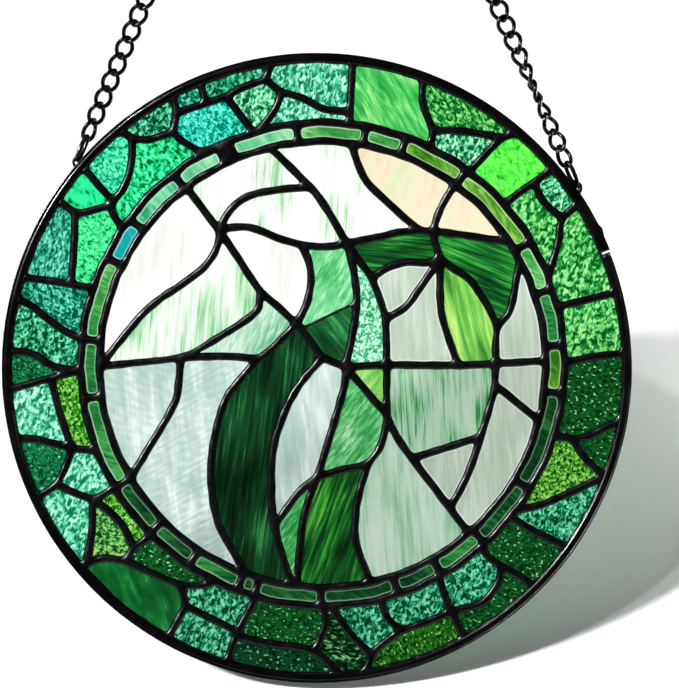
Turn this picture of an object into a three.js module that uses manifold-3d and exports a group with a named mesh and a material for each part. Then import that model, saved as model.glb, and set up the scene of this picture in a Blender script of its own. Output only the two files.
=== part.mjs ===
// Round stained glass suncatcher, 300 mm across, hung on two chains from one ring.
// Millimetres. +X is to the right, +Z is up and the front of the panel faces -Y. The origin is
// where a hook bears: on the inside of the hanging ring, at its top.
//
// The panel's own drawing uses [x, z] points about the middle of the panel. Each solder line is a
// smooth curve through a few such points, and the glass is one sheet that the lines cut apart.
import * as THREE from 'three';
import { mergeVertices } from 'three/addons/utils/BufferGeometryUtils.js';
import Module from 'manifold-3d';

const wasm = await Module();
wasm.setup();

// Rim: a metal channel that opens inwards and is parted at one seam.
const PANEL_R = 150;
const RIM_INNER_R = 145.8;
const RIM_GROOVE_R = 148.4;
const RIM_DEPTH = 6.4;
const RIM_SEAM_ANGLE = 21.8;
const RIM_SEAM_GAP = 0.8;
const RIM_SIDES = 40;

// Glass and the lines between it.
const FIT_GAP = 0.3;
const GLASS_THICKNESS = 3;
const GLASS_R = RIM_GROOVE_R - 1.5 * FIT_GAP;
const LEAD_DEPTH = 5;
const LEAD_WIDTH = 3.9;
const FINE_LEAD_WIDTH = 1.3;
const LEAD_END_R = RIM_INNER_R - 2 * FIT_GAP;
const LEAD_OVERLAP = 0.5;
const CURVE_TOLERANCE = 0.5;

// The band of small tiles, a little off the middle of the panel.
const BAND_CENTRE = [2.8, 1.7];
const BAND_INNER_R = 106.5;
const BAND_OUTER_R = 115.5;
const BAND_LEAD_WIDTH = 3.9;
const BAND_SIDES = 32;
const BAND_BLOCK = { angle: 114.35, width: 9.4 };

// Hanging parts. The links are coarse: an oval of a few straight stretches of few-sided wire,
// swollen a little so that they keep the width of the true oval and the area of the true wire.
const WIRE = 1.45;
const WIRE_SIDES = 3;
const WIRE_SWELL = 1.25;
const LINK_PITCH = 8.5;
const LINK_WIDTH = 8.6;
const LINK_SIDES = 6;
const OVAL_SWELL = 1 / Math.cos(Math.PI / LINK_SIDES);
const LINK_TURN = Math.PI / 4;
const LINK_CONTACT = WIRE * WIRE_SWELL - 0.3;
const CONNECTOR_LENGTH = 12.3;
const CONNECTOR_WIDTH = 6.4;
const HANGING_RING_R = 9;
const HANGING_RING_WIRE = 2.2;
const HOLD_R = 6.4;
const HOLD_ANGLE = 36;
const LOOP_R = 2.7;
const LOOP_WIRE = 1.3;
const LOOP_SIDES = 5;
const LOOP_ANGLES = { left: 139.1, right: 34.9 };
const LOOP_HOOK_R = PANEL_R + FIT_GAP + 1;

// Heights above the origin.
const HANGING_RING_Z = -(HANGING_RING_R - HANGING_RING_WIRE / 2);
const PANEL_Z = HANGING_RING_Z - 366;

const COLOURS = {
  blackMetal: '#1b1b1d',
  solder: '#202224',
  white: '#eef4ee',
  cream: '#f6e7cf',
  pearl: '#dfe6dc',
  whiteGreen: '#d5e8d0',
  paleGreen: '#a9cfa0',
  leafGreen: '#5da14c',
  midGreen: '#3d8f3a',
  deepGreen: '#1c5a2b',
  darkGreen: '#17452a',
  brightGreen: '#3fcf47',
  seaGreen: '#2f9d6c',
  teal: '#2aa88a',
  mint: '#8fd6a8',
};

// The cut glass: a name, its colour, and the middle of its area.
const GLASS = [
  ['glass_left_white_sail', 'white', [-74, 50]],
  ['glass_left_streaked_leaf', 'whiteGreen', [-59, 26]],
  ['glass_left_pale_green_petal', 'paleGreen', [-30, 16]],
  ['glass_top_left_white_wisp', 'white', [-36, 89]],
  ['glass_top_white_leaf', 'white', [-14, 72]],
  ['glass_inner_white_leaf', 'white', [-20, 48]],
  ['glass_top_streaked_sail', 'whiteGreen', [13, 85]],
  ['glass_top_cream_sail', 'cream', [42, 87]],
  ['glass_top_right_cream_corner', 'cream', [71, 72]],
  ['glass_centre_green_blade', 'leafGreen', [6, 40]],
  ['glass_centre_dark_green_wedge', 'deepGreen', [8, 16]],
  ['glass_centre_mint_strip', 'mint', [24, 20]],
  ['glass_centre_dark_green_band', 'deepGreen', [38, 56]],
  ['glass_right_dark_green_arch', 'deepGreen', [80, 48]],
  ['glass_centre_grey_petal', 'pearl', [40, 40]],
  ['glass_centre_grey_panel', 'pearl', [49, 18]],
  ['glass_right_lime_leaf', 'leafGreen', [72, 23]],
  ['glass_right_grey_fin', 'pearl', [97, 18]],
  ['glass_right_pale_corner', 'pearl', [98, -7]],
  ['glass_right_streaked_panel', 'whiteGreen', [58, -18]],
  ['glass_low_right_pearl_strip', 'pearl', [85, -43]],
  ['glass_low_right_triangle', 'pearl', [63, -48]],
  ['glass_small_green_triangle', 'leafGreen', [27, -6]],
  ['glass_middle_green_leaf', 'leafGreen', [18, -30]],
  ['glass_low_pale_sail', 'paleGreen', [40, -70]],
  ['glass_low_dark_green_stem', 'deepGreen', [7, -79]],
  ['glass_low_green_wedge', 'leafGreen', [-12, -77]],
  ['glass_middle_pearl_oval', 'pearl', [-5, -31]],
  ['glass_big_dark_green_curve', 'darkGreen', [-29, -41]],
  ['glass_low_left_pearl_crescent', 'pearl', [-60, -41]],
  ['glass_low_left_pearl_leaf', 'pearl', [-85, -17]],
  ['band_tiles_top', 'leafGreen', [35, 99]],
  ['band_tiles_left', 'seaGreen', [-92, 30]],
  ['band_tiles_bottom', 'deepGreen', [-12, -95]],
  ['band_tiles_right', 'deepGreen', [104, -14]],
  ['border_glass_01', 'midGreen', [52, 123]],
  ['border_glass_02', 'brightGreen', [101, 86]],
  ['border_glass_03', 'midGreen', [132, 31]],
  ['border_glass_04', 'deepGreen', [131, -10]],
  ['border_glass_05', 'midGreen', [121, -56]],
  ['border_glass_06', 'deepGreen', [88, -100]],
  ['border_glass_07', 'midGreen', [42, -124]],
  ['border_glass_08', 'darkGreen', [-9, -132]],
  ['border_glass_09', 'seaGreen', [-51, -121]],
  ['border_glass_10', 'deepGreen', [-83, -104]],
  ['border_glass_11', 'midGreen', [-108, -75]],
  ['border_glass_12', 'seaGreen', [-122, -48]],
  ['border_glass_13', 'seaGreen', [-130, -16]],
  ['border_glass_14', 'seaGreen', [-128, 22]],
  ['border_glass_15', 'teal', [-116, 64]],
  ['border_glass_16', 'teal', [-85, 101]],
  ['border_glass_17', 'teal', [-50, 125]],
  ['border_glass_18', 'mint', [-9, 131]],
];

const radians = (degrees) => degrees * Math.PI / 180;

function onCircle(angle, radius, centre = [0, 0]) {
  return [centre[0] + radius * Math.cos(radians(angle)), centre[1] + radius * Math.sin(radians(angle))];
}

function movedToCircle([x, z], radius, centre) {
  const length = Math.hypot(x - centre[0], z - centre[1]);
  return [centre[0] + (x - centre[0]) * radius / length, centre[1] + (z - centre[1]) * radius / length];
}

// Ends of lines: on the rim, and on the two circles of the tile band.
const rim = (x, z) => movedToCircle([x, z], PANEL_R, [0, 0]);
const outer = (x, z) => movedToCircle([x, z], BAND_OUTER_R, BAND_CENTRE);
const inner = (x, z) => movedToCircle([x, z], BAND_INNER_R, BAND_CENTRE);

// Meeting points of the lines inside the band.
const J1 = [-46.4, 65.8];
const J2 = [-26.6, 36.5];
const J3 = [-9.5, 21.2];
const J4 = [3, 5.2];
const J5 = [13.7, 0.5];
const J6 = [-3.2, 86.1];
const J7 = [14.2, 59.4];
const J8 = [26.2, 42.9];
const J9 = [32.8, 23];
const J10 = [33.4, 1.4];
const J11 = [49, 65.6];
const J12 = [55.7, 64.9];
const J14 = [58.8, 52];
const J15 = [67.5, 1.2];
const J16 = [86, 19.1];
const J17 = [85.4, 2.1];
const J18 = [-64.8, 5];
const J19 = [-27.1, 4.5];
const J20 = [0.4, -52];
const J21 = [24.9, -45.1];
const J22 = [33.7, -22.9];
const J23 = [45.2, -43.2];
const J24 = [63.5, -66.8];
const J25 = [77.6, -32.9];
const J26 = [85, -8.1];
const J27 = [-20.2, -75.4];
const J28 = inner(-102.9, 0.5);

// Lines of the middle.
const MIDDLE_LINES = [
  [inner(-62, 86), J1, J2, J3, J4, J5],
  [J1, [-42.4, 73.9], [-34.7, 80.8], [-24, 84.2], [-13.3, 85.4], J6],
  [inner(-21.8, 103.5), [-11.8, 94.1], J6, [1.9, 80.1], [8, 70.2], J7],
  [J1, [-33.9, 67.3], [-22.5, 63.4], [-11.1, 59.5], [4.1, 57.6], J7],
  [[-7.1, 58.2], [-3.1, 48.2], [-3.8, 33.7], J3],
  [J7, [17.8, 45.1], [19, 33.7], [17.8, 20], J5],
  [J7, J8, [30, 32.9], J9, J10],
  [inner(16.3, 106.4), [20.1, 96], [24.7, 87.7], [39.9, 73.2], J11],
  [J7, [23.2, 60.7], [34.6, 63.7], J11, J12, [71.6, 63.3], inner(91.2, 59.6)],
  [inner(67.4, 89.7), [59.5, 77], J12, J14],
  [J14, [51.9, 50.1], [42.8, 50.4], [34.4, 48.1], J8],
  [J14, [48.9, 37.5], [44.3, 31.4], [39, 26.8], J9],
  [J14, [58.8, 33.7], [60.3, 22.3], [64.1, 10.9], J15],
  [J14, [64.1, 48.1], [71.7, 42.8], [78.6, 34.4], [83.1, 26], J16],
  [inner(94.5, 50.6), [94.5, 37.5], [92.3, 28.3], J16, J17],
  [J5, J10, J15, J17, inner(109.3, 3.3)],
  [J1, [-47.6, 57.2], [-56.7, 45.1], [-74.9, 32.9], [-90.2, 17.7], J28],
  [J2, [-27.8, 28.3], [-36.9, 20.7], [-49.1, 13.1], J18],
  [J28, [-82.5, 2.5], J18, [-44.5, 5.5], J19],
  [J3, [-18.7, 11.6], J19, [-33.9, -2.1], [-43, -14.3], [-47.6, -28], [-50.3, -44.6],
    [-49.8, -61.4], [-46, -76.6], [-40, -87.2], inner(-33.3, -96.8)],
  [J18, [-65.8, -6.6], [-68.8, -18.8], [-78, -34], inner(-88.6, -52.5)],
  [J4, [-9.5, -9.7], [-15.6, -21.8], [-20.2, -35.5], [-21.7, -50.8], J27, inner(-11.4, -101.1)],
  [J5, [13.3, -8.1], [8.7, -23.4], J20],
  [J20, [-6.5, -57.2], [-14.1, -66], J27],
  [J20, [-5.7, -69], [-8, -84.2], inner(-9.4, -102.6)],
  [J20, [13.3, -48.2], J21, [31.5, -34], J22],
  [J21, [20.9, -56.8], [18.6, -69], [18.6, -82.7], inner(25.4, -102.1)],
  [J5, [23.9, -11.2], J22],
  [J10, [33.8, -8.1], J22, [39.2, -34.3], J23, [54.4, -55.3], J24, inner(71.2, -77.3)],
  [J23, [62, -38.2], J25],
  [J17, J26, [81.8, -21.8], J25, [72.6, -49.2], J24],
  [J26, [93.9, -15.7], inner(105, -24.8)],
];
const FINE_LINES = [[[-7.5, 18.6], [17.3, 30.5]]];

// Lines of the border that part one cut sheet from the next.
const BORDER_LINES = [
  [rim(16.8, 146), [16.3, 132.6], outer(15.8, 118.3)],
  [outer(71.6, 92.1), [77.4, 98.3], [88.8, 109.7], rim(101, 114)],
  [rim(124.1, 77.8), [117, 71.1], [115.2, 60.6], [112.6, 50.1], outer(110.8, 43.4)],
  [outer(118.9, 2.4), [130.8, 5.2], rim(146.1, 7.2)],
  [outer(114.1, -32.9), [125.5, -33.5], [134, -30.4], rim(144.6, -22.4)],
  [outer(93.6, -72), [104.7, -78.5], rim(120.3, -85.4)],
  [outer(57.8, -99.2), [60.8, -108.8], [64, -116.1], rim(69.7, -127.4)],
  [outer(6.8, -114.5), [16.8, -127.7], [26.6, -137]],
  [[26.6, -137], rim(20.5, -145)],
  [outer(-27.7, -104.9), [-31.9, -115.1], [-38.2, -126.6], rim(-42.4, -139.3)],
  [outer(-48.1, -101.1), [-53.8, -103.5], [-65.3, -103.5]],
  [[-65.3, -103.5], [-62.6, -113], [-67.4, -121.4], rim(-71.5, -129.3)],
  [outer(-79.6, -80.6), [-87.3, -85.9], [-91.5, -92.1]],
  [[-91.5, -92.1], [-100.9, -90.5], rim(-114, -93.5)],
  [outer(-97.7, -57.7), [-105.8, -63]],
  [[-105.8, -63], [-115.5, -59.6], [-123.9, -55.3]],
  [[-123.9, -55.3], rim(-133.5, -63)],
  [rim(-144, -32.7), [-130.2, -34.6], [-116.6, -38.3], outer(-106.8, -40.1)],
  [rim(-146.8, 8.1), [-135.4, 6.7], [-126, 1], outer(-114.4, -1.4)],
  [rim(-141.1, 42.9), [-127.1, 41.6], [-116.6, 39.6], outer(-108.2, 38.2)],
  [rim(-112.5, 97.3), [-104, 86.6], [-97.7, 79.6], [-97.2, 73], outer(-92.9, 66.8)],
  [rim(-67.6, 129.3), [-66.9, 120.1], [-68.2, 112.4], [-62.2, 106.5], [-54.9, 103.4],
    outer(-46.7, 104.9)],
  [outer(-30.4, 113), [-38.2, 123.3], [-43.3, 129.3]],
  [[-43.3, 129.3], [-32.9, 134.8], [-24.5, 137.9], rim(-20.9, 144.5)],
];

// Lines of the border that lie on the front and back of one cut sheet.
const OVERLAID_LINES = [
  [rim(49.2, 138.3), [50.8, 125.4], [55, 113], outer(54.5, 105.9)],
  [[54.6, 113.3], [69.3, 112.8], [88.8, 109.7]],
  [outer(88.8, 77.8), [97.4, 84.4], rim(111.2, 93.5)],
  [[103.6, 88.2], [107.9, 79.3], [117, 71.1]],
  [outer(115.5, 29.3), [126.7, 32.2], rim(143.2, 36)],
  [[121.5, -33.6], [127.7, -42.9], rim(138.5, -54)],
  [outer(97.4, -69.6), [111, -63.9], [123.5, -57.7], [136, -52]],
  [outer(78.3, -85.4), [83.8, -92.1], [92.2, -96.4], rim(103.1, -103)],
  [[88, -94.4], [85.9, -103.5], [78.6, -112], [64, -116.1], [52.4, -121.4], [40.9, -125],
    [29.4, -132.9], [26.6, -137]],
  [outer(31.1, -112.6), [33.6, -119.3], [40.2, -125.5]],
  [outer(3.7, -114), [3.7, -123.5], [-0.9, -135]],
  [[-38.2, -127.6], [-20.4, -131.8], [-1.5, -135], rim(14, -144)],
  [[-62.6, -113.3], [-50.7, -119.3], [-38.2, -125.6]],
  [[-91.5, -92.1], [-77.9, -98.4], [-65.3, -103.5]],
  [[-106.5, -63], [-96.7, -70.1], [-90.4, -78.5], [-87.3, -85.9]],
  [[-106.7, -62], [-107.2, -77.5], [-109, -92]],
  [[-123.9, -55.3], [-119.7, -47.1], [-116.6, -38.3]],
  [[-126.6, -4.6], [-122.9, -19.9], [-116.6, -38.3]],
  [rim(-147.3, -11), [-135.4, -7.4], [-126, -4.2], outer(-113.4, -1)],
  [rim(-143, 34.3), [-132.3, 27], [-123.9, 19.7], outer(-113, 13.8)],
  [[-115.3, 74.1], [-115.5, 60.5], [-117.1, 39.6]],
  [rim(-125.4, 81.5), [-114.5, 74.1], [-106.1, 75.1], [-97.7, 77.8]],
  [[-88, 108.6], [-88.3, 98.1], [-91.5, 86.6], [-97.2, 79.3]],
  [rim(-97.5, 114.5), [-84.1, 108.6], [-73.7, 110.2], [-68.2, 112.4]],
  [[-66.8, 121.4], [-54.9, 125.3], [-43.3, 129.3]],
  [rim(-55.2, 135.9), [-52.9, 126.4]],
  [[-24.5, 137.4], [-17.2, 131.7], [-6.8, 128.5], [3.7, 123.3], [15.8, 122.1]],
  [[-16.7, 131.2], [-20.4, 122.2], outer(-28, 114)],
];

// Where spacers cross the tile band, as angles about its centre.
const BAND_DIVIDERS = [30.6, 210.7, 312.1];
const BAND_SPACERS = [4.6, 18.2, 53.4, 69.7, 79.6, 96.3, 128.1, 143.1, 153.8, 174, 188.2,
  224.4, 236.4, 249.3, 253.5, 269.6, 288.2, 299.5, 328.9, 353];

// A closed solid from a three.js geometry.
function solid(geometry) {
  const bare = geometry.clone();
  bare.deleteAttribute('normal');
  bare.deleteAttribute('uv');
  const merged = mergeVertices(bare, 1e-4);
  return new wasm.Manifold(new wasm.Mesh({
    numProp: 3,
    vertProperties: new Float32Array(merged.attributes.position.array),
    triVerts: new Uint32Array(merged.index.array),
  }));
}

// Moves an upright outline's solid into the panel: outline x, y become X, Z, and its depth Y.
function plate(shape, front, back, curveSegments = 12) {
  const options = { depth: back - front, bevelEnabled: false, curveSegments };
  const geometry = new THREE.ExtrudeGeometry(shape, options);
  return solid(geometry.rotateX(Math.PI / 2).translate(0, back, 0));
}

function polygon(points) {
  return new THREE.Shape(points.map(([x, z]) => new THREE.Vector2(x, z)));
}

function disc(radius, depth, sides, centre = [0, 0]) {
  const geometry = new THREE.CylinderGeometry(radius, radius, depth, sides);
  return solid(geometry.translate(centre[0], 0, centre[1]));
}

// How far a curve strays from the chord between two of its places.
function chordError(curve, start, end) {
  const chord = new THREE.Line3(curve.getPoint(start), curve.getPoint(end));
  const nearest = new THREE.Vector3();
  const errors = [0.2, 0.35, 0.5, 0.65, 0.8].map((share) => {
    const point = curve.getPoint(start + share * (end - start));
    return point.distanceTo(chord.closestPointToPoint(point, true, nearest));
  });
  return Math.max(...errors);
}

// The places along a curve whose chords stay within CURVE_TOLERANCE of it, after the first place.
function stops(curve, start = 0, end = 1) {
  if (chordError(curve, start, end) <= CURVE_TOLERANCE) return [end];
  const middle = (start + end) / 2;
  return [...stops(curve, start, middle), ...stops(curve, middle, end)];
}

// A strip of even width along a smooth curve through the points, from y = front to y = back. It
// runs past both ends of the curve, into the lines that it meets.
function strip(points, width, front, back, past = LEAD_OVERLAP) {
  const knots = points.map(([x, z]) => new THREE.Vector3(x, z, 0));
  const curve = new THREE.CatmullRomCurve3(knots, false, 'centripetal');
  const left = [];
  const right = [];
  for (const place of [0, ...stops(curve)]) {
    const tangent = curve.getTangent(place);
    const step = (place === 1 ? past : 0) - (place === 0 ? past : 0);
    const centre = curve.getPoint(place).addScaledVector(tangent, step);
    const side = new THREE.Vector3(-tangent.y, tangent.x, 0).multiplyScalar(width / 2);
    left.push([centre.x + side.x, centre.y + side.y]);
    right.unshift([centre.x - side.x, centre.y - side.y]);
  }
  return plate(polygon([...left, ...right]), front, back);
}

const joined = (solids) => solids.reduce((whole, piece) => whole.add(piece));

function bandCircle(radius, width, depth) {
  const outside = disc(radius + width / 2, depth, BAND_SIDES, BAND_CENTRE);
  return outside.subtract(disc(radius - width / 2, depth + 2, BAND_SIDES, BAND_CENTRE));
}

function bandSpacer(angle, width, front, back) {
  const from = onCircle(angle, BAND_INNER_R, BAND_CENTRE);
  const to = onCircle(angle, BAND_OUTER_R, BAND_CENTRE);
  return strip([from, to], width, front, back);
}

// The lines that part the glass, each widened by grow on every side.
function partingLines(depth, grow) {
  const front = -depth / 2;
  const back = depth / 2;
  const past = LEAD_OVERLAP + grow;
  const wide = [...MIDDLE_LINES, ...BORDER_LINES];
  return joined([
    ...wide.map((points) => strip(points, LEAD_WIDTH + 2 * grow, front, back, past)),
    ...FINE_LINES.map((points) => strip(points, FINE_LEAD_WIDTH + 2 * grow, front, back, past)),
    bandCircle(BAND_INNER_R, BAND_LEAD_WIDTH + 2 * grow, depth),
    bandCircle(BAND_OUTER_R, BAND_LEAD_WIDTH + 2 * grow, depth),
    ...BAND_DIVIDERS.map((angle) => bandSpacer(angle, BAND_LEAD_WIDTH + 2 * grow, front, back)),
    bandSpacer(BAND_BLOCK.angle, BAND_BLOCK.width + 2 * grow, front, back),
  ]);
}

// The lines that lie on one face of a cut sheet, between y = front and y = back.
function overlaidLines(front, back) {
  return joined([
    ...OVERLAID_LINES.map((points) => strip(points, LEAD_WIDTH, front, back)),
    ...BAND_SPACERS.map((angle) => bandSpacer(angle, BAND_LEAD_WIDTH, front, back)),
  ]);
}

function leadLines() {
  const beyond = LEAD_DEPTH / 2 + 1;
  const glassFace = GLASS_THICKNESS / 2 + FIT_GAP;
  const network = partingLines(2 * beyond, 0)
    .add(overlaidLines(-beyond, -glassFace))
    .add(overlaidLines(glassFace, beyond));
  return network.intersect(disc(LEAD_END_R, LEAD_DEPTH, RIM_SIDES));
}

function cutGlass() {
  const sheet = disc(GLASS_R, GLASS_THICKNESS, RIM_SIDES);
  return sheet.subtract(partingLines(GLASS_THICKNESS + 2, FIT_GAP));
}

function rimChannel() {
  const lip = RIM_DEPTH / 2;
  const groove = GLASS_THICKNESS / 2 + FIT_GAP;
  const profile = [
    [RIM_INNER_R, -lip], [PANEL_R, -lip], [PANEL_R, lip], [RIM_INNER_R, lip], [RIM_INNER_R, groove],
    [RIM_GROOVE_R, groove], [RIM_GROOVE_R, -groove], [RIM_INNER_R, -groove], [RIM_INNER_R, -lip],
  ].map(([radius, y]) => new THREE.Vector2(radius, y));
  const seam = new THREE.BoxGeometry(20, RIM_DEPTH + 2, RIM_SEAM_GAP);
  seam.translate(PANEL_R, 0, 0).rotateY(-radians(RIM_SEAM_ANGLE));
  return solid(new THREE.LatheGeometry(profile, RIM_SIDES)).subtract(solid(seam));
}

// The separate bodies of a cut sheet, each as its own geometry.
function bodies(whole) {
  const { vertProperties, triVerts } = whole.getMesh();
  const owner = Array.from({ length: vertProperties.length / 3 }, (_, vertex) => vertex);
  const root = (vertex) => {
    let top = vertex;
    while (owner[top] !== top) {
      owner[top] = owner[owner[top]];
      top = owner[top];
    }
    return top;
  };
  for (let first = 0; first < triVerts.length; first += 3) {
    owner[root(triVerts[first + 1])] = root(triVerts[first]);
    owner[root(triVerts[first + 2])] = root(triVerts[first]);
  }
  const corners = new Map();
  for (let first = 0; first < triVerts.length; first += 3) {
    const body = root(triVerts[first]);
    if (!corners.has(body)) corners.set(body, []);
    for (const vertex of triVerts.slice(first, first + 3)) {
      corners.get(body).push(...vertProperties.slice(3 * vertex, 3 * vertex + 3));
    }
  }
  return [...corners.values()].map(looseTriangles);
}

function looseTriangles(corners) {
  const geometry = new THREE.BufferGeometry();
  geometry.setAttribute('position', new THREE.Float32BufferAttribute(corners, 3));
  geometry.computeVertexNormals();
  return geometry;
}

function geometryOf(whole) {
  const [geometry] = bodies(whole);
  return geometry;
}

// The centre of area of a flat body, from its triangles that face the front.
function areaCentre(geometry) {
  const { position, normal } = geometry.attributes;
  const sum = new THREE.Vector2();
  let total = 0;
  for (let first = 0; first < position.count; first += 3) {
    if (normal.getY(first) > -0.9) continue;
    const corner = (k) => new THREE.Vector2(position.getX(first + k), position.getZ(first + k));
    const [a, b, c] = [0, 1, 2].map(corner);
    const area = Math.abs(b.clone().sub(a).cross(c.clone().sub(a)));
    sum.addScaledVector(a.add(b).add(c), area / 3);
    total += area;
  }
  return sum.divideScalar(total);
}

// One wire link along X. It is an oval whose plane is turned about X, from the angle start at one
// end to the angle end at the other, where an angle of 0 is the X-Y plane.
function link(length, width, start, end) {
  const geometry = new THREE.TorusGeometry(1, WIRE / 2 * WIRE_SWELL, WIRE_SIDES, LINK_SIDES);
  const long = (length - WIRE) / 2 * OVAL_SWELL;
  const wide = (width - WIRE) / 2;
  geometry.rotateZ(Math.PI / LINK_SIDES);
  const position = geometry.attributes.position;
  for (let vertex = 0; vertex < position.count; vertex += 1) {
    const angle = Math.atan2(position.getY(vertex), position.getX(vertex));
    const out = 1 - Math.hypot(position.getX(vertex), position.getY(vertex));
    const x = (long + out) * Math.cos(angle);
    const y = (wide + out) * Math.sin(angle);
    const point = new THREE.Vector3(x, y, -position.getZ(vertex));
    point.applyAxisAngle(new THREE.Vector3(1, 0, 0), start + (end - start) * (0.5 + x / (2 * long)));
    position.setXYZ(vertex, point.x, point.y, point.z);
  }
  return geometry;
}

// A chain from x = 0 to x = reach: the connector that holds the panel's loop, then twisted links.
// Each link starts inside the last one, square to its end and so close that their wires touch,
// and is fused to it. The last link ends square to the hanging ring.
function chain(reach) {
  const connectorReach = CONNECTOR_LENGTH - WIRE;
  const count = Math.round((reach - connectorReach) / LINK_PITCH);
  const pitch = (reach - connectorReach) / count;
  const linkLength = pitch + LINK_CONTACT + WIRE;
  const connector = link(CONNECTOR_LENGTH, CONNECTOR_WIDTH, 0, 0);
  const pieces = [connector.translate(connectorReach / 2, 0, 0)];
  for (let place = 0; place < count; place += 1) {
    const start = place === 0 ? 2 * LINK_TURN : LINK_TURN;
    const end = place === count - 1 ? 0 : 3 * LINK_TURN;
    const next = link(linkLength, LINK_WIDTH, start, end);
    pieces.push(next.translate(connectorReach + pitch * (place + 0.5) - LINK_CONTACT / 2, 0, 0));
  }
  return joined(pieces.map(solid));
}

// A small arch of wire that stands on the rim, with its feet at z = 0 and its top at z = LOOP_R.
function loopGeometry() {
  const crown = LOOP_R * 4 / 3;
  const arch = new THREE.CubicBezierCurve3(
    new THREE.Vector3(-LOOP_R, 0, 0),
    new THREE.Vector3(-LOOP_R, crown, 0),
    new THREE.Vector3(LOOP_R, crown, 0),
    new THREE.Vector3(LOOP_R, 0, 0),
  );
  const corner = (_, side) => onCircle(side * 360 / LOOP_SIDES, LOOP_WIRE / 2);
  const corners = Array.from({ length: LOOP_SIDES }, corner);
  const geometry = new THREE.ExtrudeGeometry(polygon(corners), { steps: LOOP_SIDES + 1, extrudePath: arch });
  return geometry.rotateX(Math.PI / 2);
}

function hangingRingGeometry() {
  const geometry = new THREE.TorusGeometry(HANGING_RING_R, HANGING_RING_WIRE / 2, 6, 16);
  return geometry.rotateX(Math.PI / 2);
}

function metal(colour, roughness) {
  return new THREE.MeshStandardMaterial({ color: COLOURS[colour], metalness: 0.6, roughness });
}

function glassMaterial(colour) {
  return new THREE.MeshStandardMaterial({ color: COLOURS[colour], metalness: 0, roughness: 0.15 });
}

function named(name, geometry, material) {
  const mesh = new THREE.Mesh(geometry, material);
  mesh.name = name;
  return mesh;
}

// The cut pieces of the sheet, each named by the row of GLASS whose middle it has.
function glassMeshes() {
  return bodies(cutGlass()).map((geometry) => {
    const centre = areaCentre(geometry);
    const distance = (row) => centre.distanceTo(new THREE.Vector2(...row[2]));
    const [name, colour] = GLASS.reduce((best, row) => (distance(row) < distance(best) ? row : best));
    return named(name, geometry, glassMaterial(colour));
  });
}

function loopMesh(side) {
  const mesh = named(`loop_${side}`, loopGeometry(), metal('blackMetal', 0.35));
  const [x, z] = onCircle(LOOP_ANGLES[side], PANEL_R + FIT_GAP);
  mesh.position.set(x, 0, z);
  mesh.rotation.y = radians(90 - LOOP_ANGLES[side]);
  return mesh;
}

// A chain lies along its own X and is turned to run from its loop to the hanging ring.
function chainMesh(side) {
  const [fromX, fromZ] = onCircle(LOOP_ANGLES[side], LOOP_HOOK_R, [0, PANEL_Z]);
  const turn = side === 'left' ? -HOLD_ANGLE : HOLD_ANGLE;
  const [toX, toZ] = onCircle(turn - 90, HOLD_R, [0, HANGING_RING_Z]);
  const links = chain(Math.hypot(toX - fromX, toZ - fromZ));
  const mesh = named(`chain_${side}`, geometryOf(links), metal('blackMetal', 0.3));
  mesh.position.set(fromX, 0, fromZ);
  mesh.rotation.y = -Math.atan2(toZ - fromZ, toX - fromX);
  return mesh;
}

const panel = new THREE.Group();
panel.position.z = PANEL_Z;
panel.add(named('rim', geometryOf(rimChannel()), metal('blackMetal', 0.25)));
panel.add(named('lead_lines', geometryOf(leadLines()), metal('solder', 0.4)));
panel.add(...glassMeshes(), loopMesh('left'), loopMesh('right'));

const hangingRing = named('hanging_ring', hangingRingGeometry(), metal('blackMetal', 0.3));
hangingRing.position.z = HANGING_RING_Z;

const group = new THREE.Group();
group.add(panel, chainMesh('left'), chainMesh('right'), hangingRing);

export default group;
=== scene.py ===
# %% [markdown]
# # A stained glass suncatcher
# This lesson dresses the plain solids of a round leaded panel, 300 mm across, that hangs on two
# chains from one ring. Every piece is built in metres in the frame of the solids: X to the right,
# Z up, and the front of the panel towards -Y. The solids say where everything is, so the first
# step loads them, with a helper that measures the box round each.

# %% Load the solids
import math

import bpy
import numpy as np
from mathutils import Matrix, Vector, geometry


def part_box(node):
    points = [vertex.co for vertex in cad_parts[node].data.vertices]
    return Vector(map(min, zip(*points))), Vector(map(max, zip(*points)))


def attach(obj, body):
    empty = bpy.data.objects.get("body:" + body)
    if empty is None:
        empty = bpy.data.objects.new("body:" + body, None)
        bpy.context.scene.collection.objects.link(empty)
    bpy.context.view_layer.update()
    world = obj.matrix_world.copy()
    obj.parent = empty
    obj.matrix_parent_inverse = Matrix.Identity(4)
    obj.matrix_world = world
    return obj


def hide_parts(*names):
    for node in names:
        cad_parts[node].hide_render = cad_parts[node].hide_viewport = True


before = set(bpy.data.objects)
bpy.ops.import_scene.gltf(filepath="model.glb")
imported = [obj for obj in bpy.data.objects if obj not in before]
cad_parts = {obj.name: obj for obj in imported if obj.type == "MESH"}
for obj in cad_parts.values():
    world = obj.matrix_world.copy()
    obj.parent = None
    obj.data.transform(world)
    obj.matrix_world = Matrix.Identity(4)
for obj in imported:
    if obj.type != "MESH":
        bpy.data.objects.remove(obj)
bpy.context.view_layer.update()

# Sizes are in mm, and those of the camera, the board and the lamps in metres. Angles are in
# degrees. The pits of real patina are finer than this. They are drawn so wide that they show.
MM = 0.001
PIT_SIZE = 0.9
MULTIPLY, MULTIPLY_ADD = {"operation": "MULTIPLY"}, {"operation": "MULTIPLY_ADD"}
scene = bpy.context.scene

# %% [markdown]
# ## Small helpers for colour, nodes and meshes
# A colour is picked as it looks on a screen, as a hex value, while the renderer works with light,
# so one function turns the first into the second. One function adds a shader node with its
# settings and links, and one puts arrays of points and faces into a mesh that rides on the body.


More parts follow.
